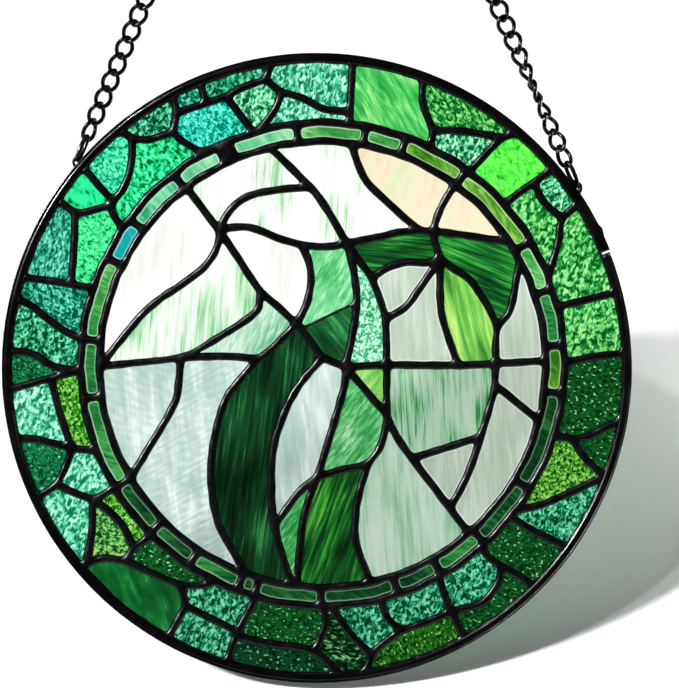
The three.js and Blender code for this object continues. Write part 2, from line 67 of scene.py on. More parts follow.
# %% Helpers
def linear(hex_colour, alpha=1.0):
    """Screen value s becomes light: s / 12.92 when small, else ((s + 0.055) / 1.055) ** 2.4."""
    parts = [int(hex_colour[k:k + 2], 16) / 255 for k in (1, 3, 5)]
    light = [s / 12.92 if s <= 0.04045 else ((s + 0.055) / 1.055) ** 2.4 for s in parts]
    return (*light, alpha)


def add_node(tree, kind, settings=None, **inputs):
    """Adds a shader node. A setting is an attribute, or a colour ramp's steps, {place: hex colour}.
    An input, by name or by _number, is a value, a socket, or a node whose first output is meant."""
    node = tree.nodes.new("ShaderNode" + kind)
    for name, value in (settings or {}).items():
        if name != "steps":
            setattr(node, name, value)
            continue
        stops = node.color_ramp.elements
        for _ in range(len(value) - len(stops)):
            stops.new(1.0)
        for stop, (place, colour) in zip(stops, value.items()):
            stop.position, stop.color = place, linear(colour)
    for name, value in inputs.items():
        socket = node.inputs[int(name[1:]) if name[1:].isdigit() else name.replace("_", " ")]
        if isinstance(value, bpy.types.Node):
            value = value.outputs[0]
        if isinstance(value, bpy.types.NodeSocket):
            tree.links.new(value, socket)
        else:
            socket.default_value = value
    return node


def new_material(name):
    """An empty material, its node tree and its Principled shader."""
    material = bpy.data.materials.new(name)
    material.use_nodes = True
    tree = material.node_tree
    return material, tree, tree.nodes["Principled BSDF"]


def place_in_mm(tree, turn=0.0, stretch=(1, 1, 1)):
    """Object coordinates in mm, turned by degrees in the plane of the panel and then stretched."""
    place = add_node(tree, "TexCoord").outputs["Object"]
    in_mm = add_node(tree, "VectorMath", {"operation": "SCALE"}, _0=place, Scale=1 / MM)
    turned = add_node(tree, "VectorRotate", {"rotation_type": "Y_AXIS"}, Vector=in_mm,
                      Angle=math.radians(turn))
    return add_node(tree, "VectorMath", MULTIPLY, _0=turned, _1=stretch)


def dark_metal(name, colour, worn, metallic, roughness, grain, level=0.5):
    """Black metal: the colour and roughness vary over grain mm, and fine bumps break up its shine."""
    material, tree, shader = new_material(name)
    cloud = add_node(tree, "TexNoise", None, Vector=place_in_mm(tree), Scale=1 / grain,
                     Detail=3.0, Roughness=0.6, Distortion=0.5)
    wear = add_node(tree, "MapRange", None, Value=cloud, From_Min=0.35, From_Max=0.7)
    shade = add_node(tree, "ValToRGB", {"steps": {0: colour, 1: worn}}, Fac=wear)
    polish = add_node(tree, "MapRange", None, Value=cloud, From_Min=0.3, From_Max=0.7,
                      To_Min=roughness, To_Max=roughness + 0.14)
    pits = add_node(tree, "TexNoise", None, Vector=place_in_mm(tree), Scale=1 / PIT_SIZE)
    bump = add_node(tree, "Bump", None, Strength=0.25, Distance=0.08 * MM, Height=pits)
    for socket, node in (("Base Color", shade), ("Roughness", polish), ("Normal", bump)):
        tree.links.new(node.outputs[0], shader.inputs[socket])
    shader.inputs["Metallic"].default_value = metallic
    shader.inputs["Specular IOR Level"].default_value = level
    return material


def new_piece(name, points, faces, material, replaced):
    """A smooth mesh from arrays, in metres, that rides on the body and stands for solids."""
    mesh = bpy.data.meshes.new(name)
    mesh.from_pydata(np.asarray(points).tolist(), [], np.asarray(faces).tolist())
    mesh.polygons.foreach_set("use_smooth", np.full(len(mesh.polygons), True))
    mesh.update()
    piece = bpy.data.objects.new(name, mesh)
    scene.collection.objects.link(piece)
    mesh.materials.append(material)
    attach(piece, "root")
    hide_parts(*replaced)
    return piece


# %% [markdown]
# ## Camera, board and light
# Window glass is made by the light behind it, so the panel hangs in a bright white surround and a
# long lens looks at it square on. A white board slopes up behind it and catches its shadow.
# The stage has two aids that belong to it and not to the glass. The board partly glows for lines
# of sight that come through the glass, so that its shadow doesn't darken the panes. The world is
# bright only for lines of sight that reach it without bouncing off a dull surface, and dim for
# all other light, so that the black metal stays black. The glass materials hold no such switch.

# %% Camera and stage
low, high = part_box("rim")
MIDDLE_X = (low.x + high.x) / 2
MIDDLE_Z = (low.z + high.z) / 2
MIDDLE_MM = (MIDDLE_X / MM, MIDDLE_Z / MM)
CAMERA_AWAY = 1.2
SENSOR_WIDTH = 36
VIEW_HEIGHT = 0.3282
VIEW_SHIFT = (0.0108, 0.0114)
BOARD_BEHIND, BOARD_BELOW, BOARD_RISE = 0.004, 0.0015, 0.7
BOARD_DEPTH, BOARD_HALF_WIDTH = (-0.3, 1.4), 2.5
GLOW_SHARE, GLOW_STRENGTH = 0.72, 1.08
SURROUND_STRENGTH = 1.06
DIM_STRENGTH, EXTRA_ON_DULL = 0.035, 0.03

camera_data = bpy.data.cameras.new("camera")
camera = bpy.data.objects.new("camera", camera_data)
scene.collection.objects.link(camera)
camera.location = (MIDDLE_X + VIEW_SHIFT[0], -CAMERA_AWAY, MIDDLE_Z + VIEW_SHIFT[1])
camera.rotation_euler = (math.pi / 2, 0, 0)
camera_data.sensor_width = SENSOR_WIDTH
camera_data.lens = SENSOR_WIDTH * CAMERA_AWAY / VIEW_HEIGHT
camera_data.clip_end = 50
scene.camera = camera
scene.view_settings.view_transform = "Standard"


def leaning_board(name, start, height, colour):
    """A white board: z = height + rise * (y - start). Its back is hidden from the camera."""
    points = [(side, y, height + BOARD_RISE * (y - start))
              for y in BOARD_DEPTH for side in (-BOARD_HALF_WIDTH, BOARD_HALF_WIDTH)]
    mesh = bpy.data.meshes.new(name)
    mesh.from_pydata(points, [], [(0, 1, 3, 2)])
    board = bpy.data.objects.new(name, mesh)
    scene.collection.objects.link(board)
    material, tree, shader = new_material(name + "_white")
    shader.inputs["Base Color"].default_value = linear(colour)
    shader.inputs["Roughness"].default_value = 0.9
    shader.inputs["Specular IOR Level"].default_value = 0.1
    behind = add_node(tree, "NewGeometry").outputs["Backfacing"]
    ray = add_node(tree, "LightPath").outputs
    seen_through = add_node(tree, "Math", MULTIPLY,
                            _0=ray["Is Transmission Ray"], _1=GLOW_SHARE)
    glow = add_node(tree, "Emission", None, Color=(1, 1, 1, 1), Strength=GLOW_STRENGTH)
    surface = add_node(tree, "MixShader", None, _0=seen_through, _1=shader, _2=glow)
    hidden = add_node(tree, "Math", MULTIPLY, _0=behind,
                      _1=ray["Is Camera Ray"])
    clear = add_node(tree, "BsdfTransparent")
    surface = add_node(tree, "MixShader", None, _0=hidden, _1=surface, _2=clear)
    end = next(node for node in tree.nodes if node.type == "OUTPUT_MATERIAL")
    tree.links.new(surface.outputs[0], end.inputs["Surface"])
    mesh.materials.append(material)


leaning_board("white_board", high.y + BOARD_BEHIND, low.z - BOARD_BELOW, "#f5f5f5")

world = bpy.data.worlds.new("white_studio")
scene.world = world
world.use_nodes = True
sky = world.node_tree
path = add_node(sky, "LightPath").outputs
looked_at = add_node(sky, "Math", {"operation": "MAXIMUM"}, _0=path["Is Camera Ray"],
                     _1=path["Is Transmission Ray"])
straight = add_node(sky, "Math", {"operation": "LESS_THAN"}, _0=path["Diffuse Depth"], _1=0.5)
looked_at = add_node(sky, "Math", MULTIPLY, _0=looked_at, _1=straight)
softly_lit = add_node(sky, "Math", MULTIPLY_ADD, _0=path["Is Diffuse Ray"],
                      _1=EXTRA_ON_DULL, _2=DIM_STRENGTH)
strength = add_node(sky, "Mix", {"data_type": "FLOAT"}, _0=looked_at, _2=softly_lit,
                    _3=SURROUND_STRENGTH)
sky.nodes["Background"].inputs["Color"].default_value = (1, 1, 1, 1)
sky.links.new(strength.outputs[0], sky.nodes["Background"].inputs["Strength"])

# %% [markdown]
# ## Lamps
# A sun from the upper left in front puts the shine on the solder and lays the shadow to the
# right. A weak one fills in from the right, and a small sharp one makes glints. A lit card close
# behind the panel, to its right, lightens the far part of the shadow.


# %% Lamps
def lamp(kind, name, place, power, size):
    """Faces the panel's middle from a place in metres from there; size is degrees, or metres for a card."""
    data = bpy.data.lights.new(name, kind)
    data.energy = power
    data.cycles.use_multiple_importance_sampling = kind != "SUN"
    if kind == "SUN":
        data.angle = math.radians(size)
    else:
        data.size = size
    made = bpy.data.objects.new(name, data)
    scene.collection.objects.link(made)
    made.location = Vector(place) + Vector((MIDDLE_X, 0, MIDDLE_Z))
    made.rotation_euler = Vector(place).to_track_quat("Z", "Y").to_euler()


lamp("SUN", "key_light", (-0.8, -1.0, 0.5), 4.7, 5)
lamp("SUN", "side_light", (0.9, -1.0, 0.25), 0.12, 12)
lamp("AREA", "high_card", (0.42, 0.24, 0.12), 1.4, 0.2)
lamp("SUN", "glint_light", (-0.5, -1.0, 0.66), 0.5, 2)
print("camera at", *camera.location, "with", len(bpy.data.lights), "lamps")

# %% [markdown]
# ## The drawing, read from the leading
# On the real panel the drawing is the network of solder, and each glass fills one hole of it.
# The solid of the leading has every hole as a coarse outline, so the outlines are read from its
# front face: an edge that belongs to one triangle only is on an outline. Each outline is then
# smoothed between its corners, cut into even steps and averaged a little with its neighbours,
# which rounds the corners as molten solder does.

# %% Outlines of the glass
FRONT = -2.5 * MM


def front_of(node, depth):
    """The points of a solid in metres, and its triangles that lie flat at that depth."""
    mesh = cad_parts[node].data
    mesh.calc_loop_triangles()
    corners = np.empty(3 * len(mesh.loop_triangles), int)
    mesh.loop_triangles.foreach_get("vertices", corners)
    points = np.empty(3 * len(mesh.vertices))
    mesh.vertices.foreach_get("co", points)
    points, triangles = points.reshape(-1, 3), corners.reshape(-1, 3)
    return points, triangles[np.abs(points[triangles][:, :, 1] - depth).max(1) < 1e-5]


def edges_of(triangles):
    """The three edges of every triangle, in its own sense."""
    return np.concatenate([triangles[:, [0, 1]], triangles[:, [1, 2]], triangles[:, [2, 0]]])


def front_outlines(node, depth):
    """Chains the edges used once by the triangles at that depth into loops of [x, z] in mm."""
    points, triangles = front_of(node, depth)
    places, same = np.unique(np.round(points[:, [0, 2]] / MM, 2), axis=0, return_inverse=True)
    triangles = same.reshape(-1)[triangles]
    edges = edges_of(triangles)
    edges = edges[edges[:, 0] != edges[:, 1]]
    known = {tuple(edge) for edge in edges.tolist()}
    after = {a: b for a, b in known if (b, a) not in known}
    loops = []
    while after:
        start, step = after.popitem()
        loop = [start]
        while step != start:
            loop.append(step)
            step = after.pop(step)
        loops.append(places[loop] - MIDDLE_MM)
    return loops


def signed_area(loop):
    """Half the sum of the cross products of neighbouring points."""
    after = np.roll(loop, -1, 0)
    return 0.5 * np.sum(loop[:, 0] * after[:, 1] - after[:, 0] * loop[:, 1])


def evenly(points, step):
    """Points at equal steps along an open line, both ends kept."""
    lengths = np.r_[0, np.cumsum(np.hypot(*np.diff(points, axis=0).T))]
    count = max(int(round(lengths[-1] / step)), 1)
    places = np.linspace(0, lengths[-1], count + 1)
    return np.stack([np.interp(places, lengths, points[:, k]) for k in (0, 1)], 1)


def through(knots, steps=8):
    """A Catmull-Rom curve: between knots p1 and p2 its tangents are (p2 - p0)/2 and (p3 - p1)/2."""
    padded = np.vstack([2 * knots[0] - knots[1], knots, 2 * knots[-1] - knots[-2]])
    p0, p1, p2, p3 = (padded[k:len(padded) - 3 + k, None] for k in range(4))
    t = np.linspace(0, 1, steps, endpoint=False)[None, :, None]
    curve = 0.5 * (2 * p1 + (p2 - p0) * t + (2 * p0 - 5 * p1 + 4 * p2 - p3) * t ** 2
                   + (3 * p1 - p0 - 3 * p2 + p3) * t ** 3)
    return np.vstack([curve.reshape(-1, 2), knots[-1:]])


def averaged(points, rounds):
    """Each point of a closed outline becomes half itself and a quarter of each neighbour."""
    for _ in range(rounds):
        points = 0.25 * np.roll(points, 1, 0) + 0.5 * points + 0.25 * np.roll(points, -1, 0)
    return points


def smoothed_outline(loop, step=1.1, sharp=36, rounds=2):
    """Curves between corners that turn more than sharp degrees, then a running average."""
    gaps = np.hypot(*(np.roll(loop, -1, 0) - loop).T)
    loop = loop[gaps > 0.25]
    ahead = np.roll(loop, -1, 0) - loop
    heading = np.degrees(np.arctan2(ahead[:, 1], ahead[:, 0]))
    turn = (heading - np.roll(heading, 1) + 180) % 360 - 180
    corners = np.flatnonzero(np.abs(turn) > sharp)
    if len(corners) < 2:
        corners = np.array([0, len(loop) // 2])
    stretches = []
    for first, last in zip(corners, np.roll(corners, -1)):
        places = np.arange(first, last + (last <= first) * len(loop) + 1)
        knots = np.take(loop, places, 0, mode="wrap")
        stretches.append(evenly(through(knots), step)[:-1])
    return averaged(np.vstack(stretches), rounds)


def closed_by_rim(loop, rim_radius):
    """Cuts the outer outline where it meets the rim, and closes each stretch with an arc of it."""
    at_rim = np.hypot(*loop.T) > rim_radius - 1.6
    loop, at_rim = (np.roll(a, -int(np.argmax(at_rim)), 0) for a in (loop, at_rim))
    starts = np.flatnonzero(at_rim & ~np.roll(at_rim, -1))
    ends = np.flatnonzero(at_rim & ~np.roll(at_rim, 1))
    ends = np.r_[ends[ends > 0], len(loop)]
    pieces = []
    for first, last in zip(starts, ends):
        stretch = np.take(loop, np.arange(first, last + 1), 0, mode="wrap")
        tips = stretch[[0, -1]] * (rim_radius / np.hypot(*stretch[[0, -1]].T))[:, None]
        angles = np.unwrap(np.arctan2(tips[:, 1], tips[:, 0]))
        sweep = np.linspace(angles[1], angles[0], max(int(abs(np.ptp(angles)) * 8), 2) + 1)
        arc = rim_radius * np.stack([np.cos(sweep), np.sin(sweep)], 1)
        pieces.append(np.vstack([stretch[1:-1], arc]))
    return pieces


RIM_INNER = 145.1
LEAST_AREA = 3
raw_loops = front_outlines("lead_lines", FRONT)
areas = np.array([signed_area(loop) for loop in raw_loops])
outside = int(np.argmax(areas))
closed = [loop for k, loop in enumerate(raw_loops) if k != outside]
closed += closed_by_rim(raw_loops[outside], RIM_INNER)
holes = [smoothed_outline(loop) for loop in closed if abs(signed_area(loop)) > LEAST_AREA]
print(len(holes), "glasses in the drawing")

# %% [markdown]
# ## Distances and triangles
# Solder and glass are both height fields: the depth of a point depends on how far it is from the
# nearest outline. These helpers measure that distance, tell which points are inside an outline,
# and join scattered points into triangles that respect the outlines. A sum of a few sine waves
# in random directions stands for the small unevenness of hand work.

# %% Distance, filling and unevenness
def to_outline(points, loop):
    """Distance to each segment: the point less its nearest place on the segment; then the least."""
    ahead = np.roll(loop, -1, 0) - loop
    away = points[:, None] - loop
    share = np.clip((away * ahead).sum(2) / (ahead ** 2).sum(1), 0, 1)
    return np.sqrt(((away - share[..., None] * ahead) ** 2).sum(2).min(1))


def to_nearest(points, loops, reach):
    """The least distance to any of the outlines, at most reach."""
    least = np.full(len(points), float(reach))
    for loop in loops:
        near = np.all((points > loop.min(0) - reach) & (points < loop.max(0) + reach), 1)
        least[near] = np.minimum(least[near], to_outline(points[near], loop))
    return least


def inside(points, loop):
    """Even-odd rule: a line to the right of an inside point crosses the outline an odd number of times."""
    a, b = loop, np.roll(loop, -1, 0)
    x, z = points[:, :1], points[:, 1:]
    spans = (a[:, 1] > z) != (b[:, 1] > z)
    rise = np.where(b[:, 1] == a[:, 1], 1, b[:, 1] - a[:, 1])
    crosses = spans & (x < a[:, 0] + (z - a[:, 1]) * (b[:, 0] - a[:, 0]) / rise)
    return crosses.sum(1) % 2 == 1


def moved_out(loop, distance):
    """Each point moved along the outline's normal, away from the enclosed side."""
    along = np.roll(loop, -1, 0) - np.roll(loop, 1, 0)
    along /= np.hypot(*along.T)[:, None]
    side = np.sign(signed_area(loop))
    return loop + side * distance * np.stack([along[:, 1], -along[:, 0]], 1)


def grid_over(loop, spacing):
    """Points of a triangular grid over the outline's box: every other row is half a step along."""
    lowest, highest = loop.min(0) - spacing, loop.max(0) + spacing
    rows = np.arange(lowest[1], highest[1], spacing * math.sqrt(0.75))
    x, z = np.meshgrid(np.arange(lowest[0], highest[0], spacing), rows)
    x = x + spacing / 2 * (np.arange(len(rows)) % 2)[:, None]
    return np.stack([x.ravel(), z.ravel()], 1)


def inside_any(points, loops):
    """Whether each point is inside one of the outlines."""
    found = np.zeros(len(points), bool)
    for loop in loops:
        near = np.flatnonzero(np.all((points > loop.min(0)) & (points < loop.max(0)), 1))
        found[near] |= inside(points[near], loop)
    return found


def filled(outer, holes, points):
    """Delaunay triangles over the points and outlines, kept inside outer and outside the holes."""
    loops = [outer, *holes]
    firsts = np.cumsum([0] + [len(loop) for loop in loops])[:-1]
    edges = np.vstack([np.stack([np.arange(len(loop)), np.roll(np.arange(len(loop)), -1)], 1) + first
                       for loop, first in zip(loops, firsts)])
    everything = np.vstack([*loops, points])
    plan, _, triangles = geometry.delaunay_2d_cdt(everything.tolist(), edges.tolist(), [], 0, 1e-6)[:3]
    plan, triangles = np.array([tuple(p) for p in plan]), np.array(triangles)
    centres = plan[triangles].mean(1)
    return plan, triangles[inside_any(centres, [outer]) & ~inside_any(centres, holes)]


def uneven(points, size, seed, waves=9):
    """A sum of sines, each along its own random direction with a length near size. It stays mostly
    between -1 and 1, and within 2 of 0."""
    random = np.random.default_rng(seed)
    turn = random.uniform(0, 2 * math.pi, waves)
    length = size * random.uniform(0.7, 1.5, waves)
    phase = random.uniform(0, 2 * math.pi, waves)
    across = points[:, :1] * np.cos(turn) + points[:, 1:2] * np.sin(turn)
    return np.sin(2 * math.pi * across / length + phase).sum(1) / math.sqrt(waves) / 1.5


def gathered(parts):
    """Several (points, faces, ...) as one, with the faces renumbered."""
    firsts = np.cumsum([0] + [len(part[0]) for part in parts])
    return (np.concatenate([part[0] for part in parts]),
            np.concatenate([part[1] + first for part, first in zip(parts, firsts)]))


def circle(angles, radius):
    """radius * (cos, sin) of angles in radians."""
    return radius * np.stack([np.cos(angles), np.sin(angles)], 1)


def cross(p, q, at):
    """(q - p) x (at - p), which is positive where at lies to the left of the way from p to q."""
    way, out = q - p, at - p
    return way[..., 0] * out[..., 1] - way[..., 1] * out[..., 0]


def closed_sheet(plan, triangles, front, back):
    """Front and back surfaces over one plan of [x, z] in mm, joined by a wall round their edges."""
    count = len(plan)
    x, z = plan[:, 0] * MM + MIDDLE_X, plan[:, 1] * MM + MIDDLE_Z
    points = np.concatenate([np.stack([x, front * MM, z], 1), np.stack([x, back * MM, z], 1)])
    a, b, c = plan[triangles].transpose(1, 0, 2)
    triangles = np.where((cross(a, b, c) < 0)[:, None], triangles[:, ::-1], triangles)
    edges = edges_of(triangles)
    code, other = edges[:, 0] * count + edges[:, 1], edges[:, 1] * count + edges[:, 0]
    rim_edges = edges[~np.isin(code, other)]
    p, q = rim_edges.T
    walls = np.concatenate([np.stack([q, p, p + count], 1), np.stack([q, p + count, q + count], 1)])
    return points, np.concatenate([triangles, triangles[:, ::-1] + count, walls])


# %% [markdown]
# ## Solder lines
# Each glass is wrapped in copper foil and the joints are flooded with solder, which stands as a
# rounded bead on the front and the back and is blackened with patina. The bead is a height field
# on the distance to the nearest glass edge: half an ellipse across the line, a little higher
# where lines meet, with slow waves along it. Extra rows of points near the edges keep the
# shoulder round, and one wall joins front to back round every glass.

# %% Solder
BEAD_FOOT = 1.35
BEAD_RISE = 1.2
BEAD_HALF = 1.95
NETWORK_EDGE = 146.3
SHOULDER_ROWS = (0.22, 0.65, 1.2)
CREST_SPACING, CREST_START = 0.95, 1.55

outlines = [moved_out(loop, 0.16 * uneven(loop, 9, 3)[:, None]) for loop in holes]
turns = np.linspace(0, 2 * math.pi, 420, endpoint=False)
network_edge = circle(turns, NETWORK_EDGE)


def bead_height(gap, plan):
    """foot + rise * sqrt(1 - (1 - gap / half) ** 2), and a lump where lines meet."""
    share = np.clip(gap / BEAD_HALF, 0, 1)
    arch = np.sqrt(1 - (1 - share) ** 2)
    lump = 0.22 * np.clip(gap - BEAD_HALF, 0, 1.3)
    waves = 0.09 * uneven(plan, 7, 11) + 0.05 * uneven(plan, 2.6, 12)
    return BEAD_FOOT + arch * (BEAD_RISE + lump + waves)


shoulders = []
for offset in SHOULDER_ROWS:
    row = np.vstack([moved_out(loop, offset) for loop in outlines])
    shoulders.append(row[to_nearest(row, outlines, 2) > offset - 0.06])
crests = grid_over(network_edge, CREST_SPACING)
crests = crests[np.hypot(*crests.T) < NETWORK_EDGE - 0.5]
crests = crests[~inside_any(crests, outlines)]
crests = crests[to_nearest(crests, outlines, 2) > CREST_START]
plan, triangles = filled(network_edge, outlines, np.vstack([*shoulders, crests]))
gap = to_nearest(plan, outlines, 5)
front_height = bead_height(gap, plan)
back_height = bead_height(gap, plan + 300)
# Solder under black patina: nearly black, with a soft shine that breaks up along the bead.
black_solder = dark_metal("black_patina_solder", "#030305", "#07070a", 0.0, 0.2, 9, 0.26)
points, faces = closed_sheet(plan, triangles, -front_height, back_height)
new_piece("solder_lines", points, faces, black_solder, replaced=["lead_lines"])
print("solder lines:", len(faces), "triangles")

# %% [markdown]
# ## Finishes of glass
# The panel mixes a few kinds of sheet glass. Opalescent and wispy sheets are milky, with streaks
# pulled along the sheet while it was soft. Cathedral sheets are clear coloured glass, and the
# roller that pressed them left hammered dimples, ripples or waves on one face. All are soda-lime
# glass: IOR 1.52, fully see-through by the shader's own transmission, and their colour is what
# the light keeps after passing both faces. The band's tiles and the grey opal carry a painted
# highlight, a paler colour along their edge by the solder. A real wrinkle bends the light behind
# it. Here its bright and dark sides are painted light and shade in the colour steps instead, which
# keeps the pattern when the background is plain white.

# %% Glass materials
# CLEAR is the roughness of a fire-polished face. FLAT keeps a pattern nearly the same through the
# depth of the sheet. SPREAD is half the stretch of the sum that the colour steps cover, and ZONES
# is how much the gathering zones count in it.
GLASS_IOR = 1.52
CLEAR = 0.06
FLAT = 0.05
SPREAD = 0.23
ZONES = 0.8
RELIEF_LIGHT_AND_SHADE = {"attribute_name": "tone"}


def glass_shader(name, roughness):
    """A see-through soda-lime glass material without its colour."""
    material, tree, shader = new_material(name)
    shader.inputs["Transmission Weight"].default_value = 1.0
    shader.inputs["IOR"].default_value = GLASS_IOR
    shader.inputs["Roughness"].default_value = roughness
    return material, tree, shader


def streaky_glass(name, turn, width, length, steps, fine=0.5, pale=None, roughness=0.12, relief=0.0):
    """Broad streaks, width by length mm and turned by degrees, plus hair-thin ones times fine, plus
    zones that gather them, plus the relief's painted light and shade times relief. The sum runs
    through the colour steps. A pale colour, a painted highlight, is mixed in within 0.7 mm of the
    solder."""
    material, tree, shader = glass_shader(name, roughness)
    noises = [add_node(tree, "TexNoise", None, Scale=1.0, Detail=detail, Roughness=rough,
                       Distortion=bend, Vector=place_in_mm(tree, turn, (across, FLAT, along)))
              for across, along, detail, rough, bend in (
                  (1 / width, 1 / length, 4.0, 0.55, 0.6), (5 / width, 2.4 / length, 4.0, 0.65, 0.5),
                  (1 / 16, 1 / 34, 1.0, 0.5, 0.3))]
    parts = [(noises[1], fine), (noises[2], ZONES)]
    if relief:
        # The relief's painted light and shade, weighed by relief.
        parts.append((add_node(tree, "Attribute", RELIEF_LIGHT_AND_SHADE).outputs["Fac"], relief))
    level = noises[0]
    for part, weight in parts:
        level = add_node(tree, "Math", MULTIPLY_ADD, _0=part, _1=weight,
                         _2=level)
    middle = 0.5 * (1 + fine + ZONES) + relief / 2
    share = add_node(tree, "MapRange", None, Value=level, From_Min=middle - SPREAD,
                     From_Max=middle + SPREAD)
    colour = add_node(tree, "ValToRGB", {"steps": steps}, Fac=share).outputs[0]
    # Painted highlight: the pale colour counts most within 0.25 mm of the solder and is gone 0.7 mm in.
    if pale:
        depth = add_node(tree, "Attribute", {"attribute_name": "depth_mm"}).outputs["Fac"]
        edge = add_node(tree, "MapRange", None, Value=depth, From_Min=0.25, From_Max=0.7,
                        To_Min=0.6, To_Max=0.0)
        colour = add_node(tree, "Mix", {"data_type": "RGBA"}, _0=edge, _6=colour,
                          _7=linear(pale)).outputs[2]
    tree.links.new(colour, shader.inputs["Base Color"])
    return material


def rolled_glass(name, colours, size, long=1.6, turn=-20, marks=0.0, dashes=0.0):
    """Bent wrinkles of size mm, long times as long and turned by degrees, plus the relief's painted
    light and shade and broad patches. The sum runs from dark to a painted glint. More marks shows
    more of the dark colours, and dashes is how strongly short painted glints are laid over them."""
    dark, deep, light, glint = colours.split()
    material, tree, shader = glass_shader(name, CLEAR)
    tone = add_node(tree, "Attribute", RELIEF_LIGHT_AND_SHADE).outputs["Fac"]
    patches = add_node(tree, "TexNoise", None, Vector=place_in_mm(tree), Scale=1 / 15,
                       Detail=2.0, Roughness=0.5, Distortion=0.4)
    place = place_in_mm(tree, turn, (1.15 / size, FLAT, 1.15 / (size * long)))
    wrinkles = add_node(tree, "TexNoise", None, Vector=place, Scale=1.0, Detail=1.2,
                        Roughness=0.45, Distortion=1.1)
    level = wrinkles
    for part, weight in ((tone, 0.25), (patches, 0.16)):
        level = add_node(tree, "Math", MULTIPLY_ADD, _0=part, _1=weight,
                         _2=level)
    centre = 0.705 + marks
    share = add_node(tree, "MapRange", None, Value=level, From_Min=centre - 0.17,
                     From_Max=centre + 0.17)
    # The steps paint the wrinkles' light and shade: dark hollows, bright threads and, without dashes, a
    # painted glint on top.
    steps = {0.25: dark, 0.45: deep, 0.68: light, 1.0: light if dashes else glint}
    colour = add_node(tree, "ValToRGB", {"steps": steps}, Fac=share).outputs[0]
    # Short painted glints, laid over the sheet as dashes.
    if dashes:
        glint_dashes = add_node(tree, "TexNoise", None, Scale=1.0, Detail=0.0, Distortion=0.3,
                         Vector=place_in_mm(tree, turn + 8, (0.95, FLAT, 0.6)))
        share = add_node(tree, "MapRange", None, Value=glint_dashes, From_Min=0.66, From_Max=0.74,
                         To_Min=0.0, To_Max=dashes)
        colour = add_node(tree, "Mix", {"data_type": "RGBA"}, _0=share, _6=colour,
                          _7=linear(glint)).outputs[2]
    tree.links.new(colour, shader.inputs["Base Color"])
    return material


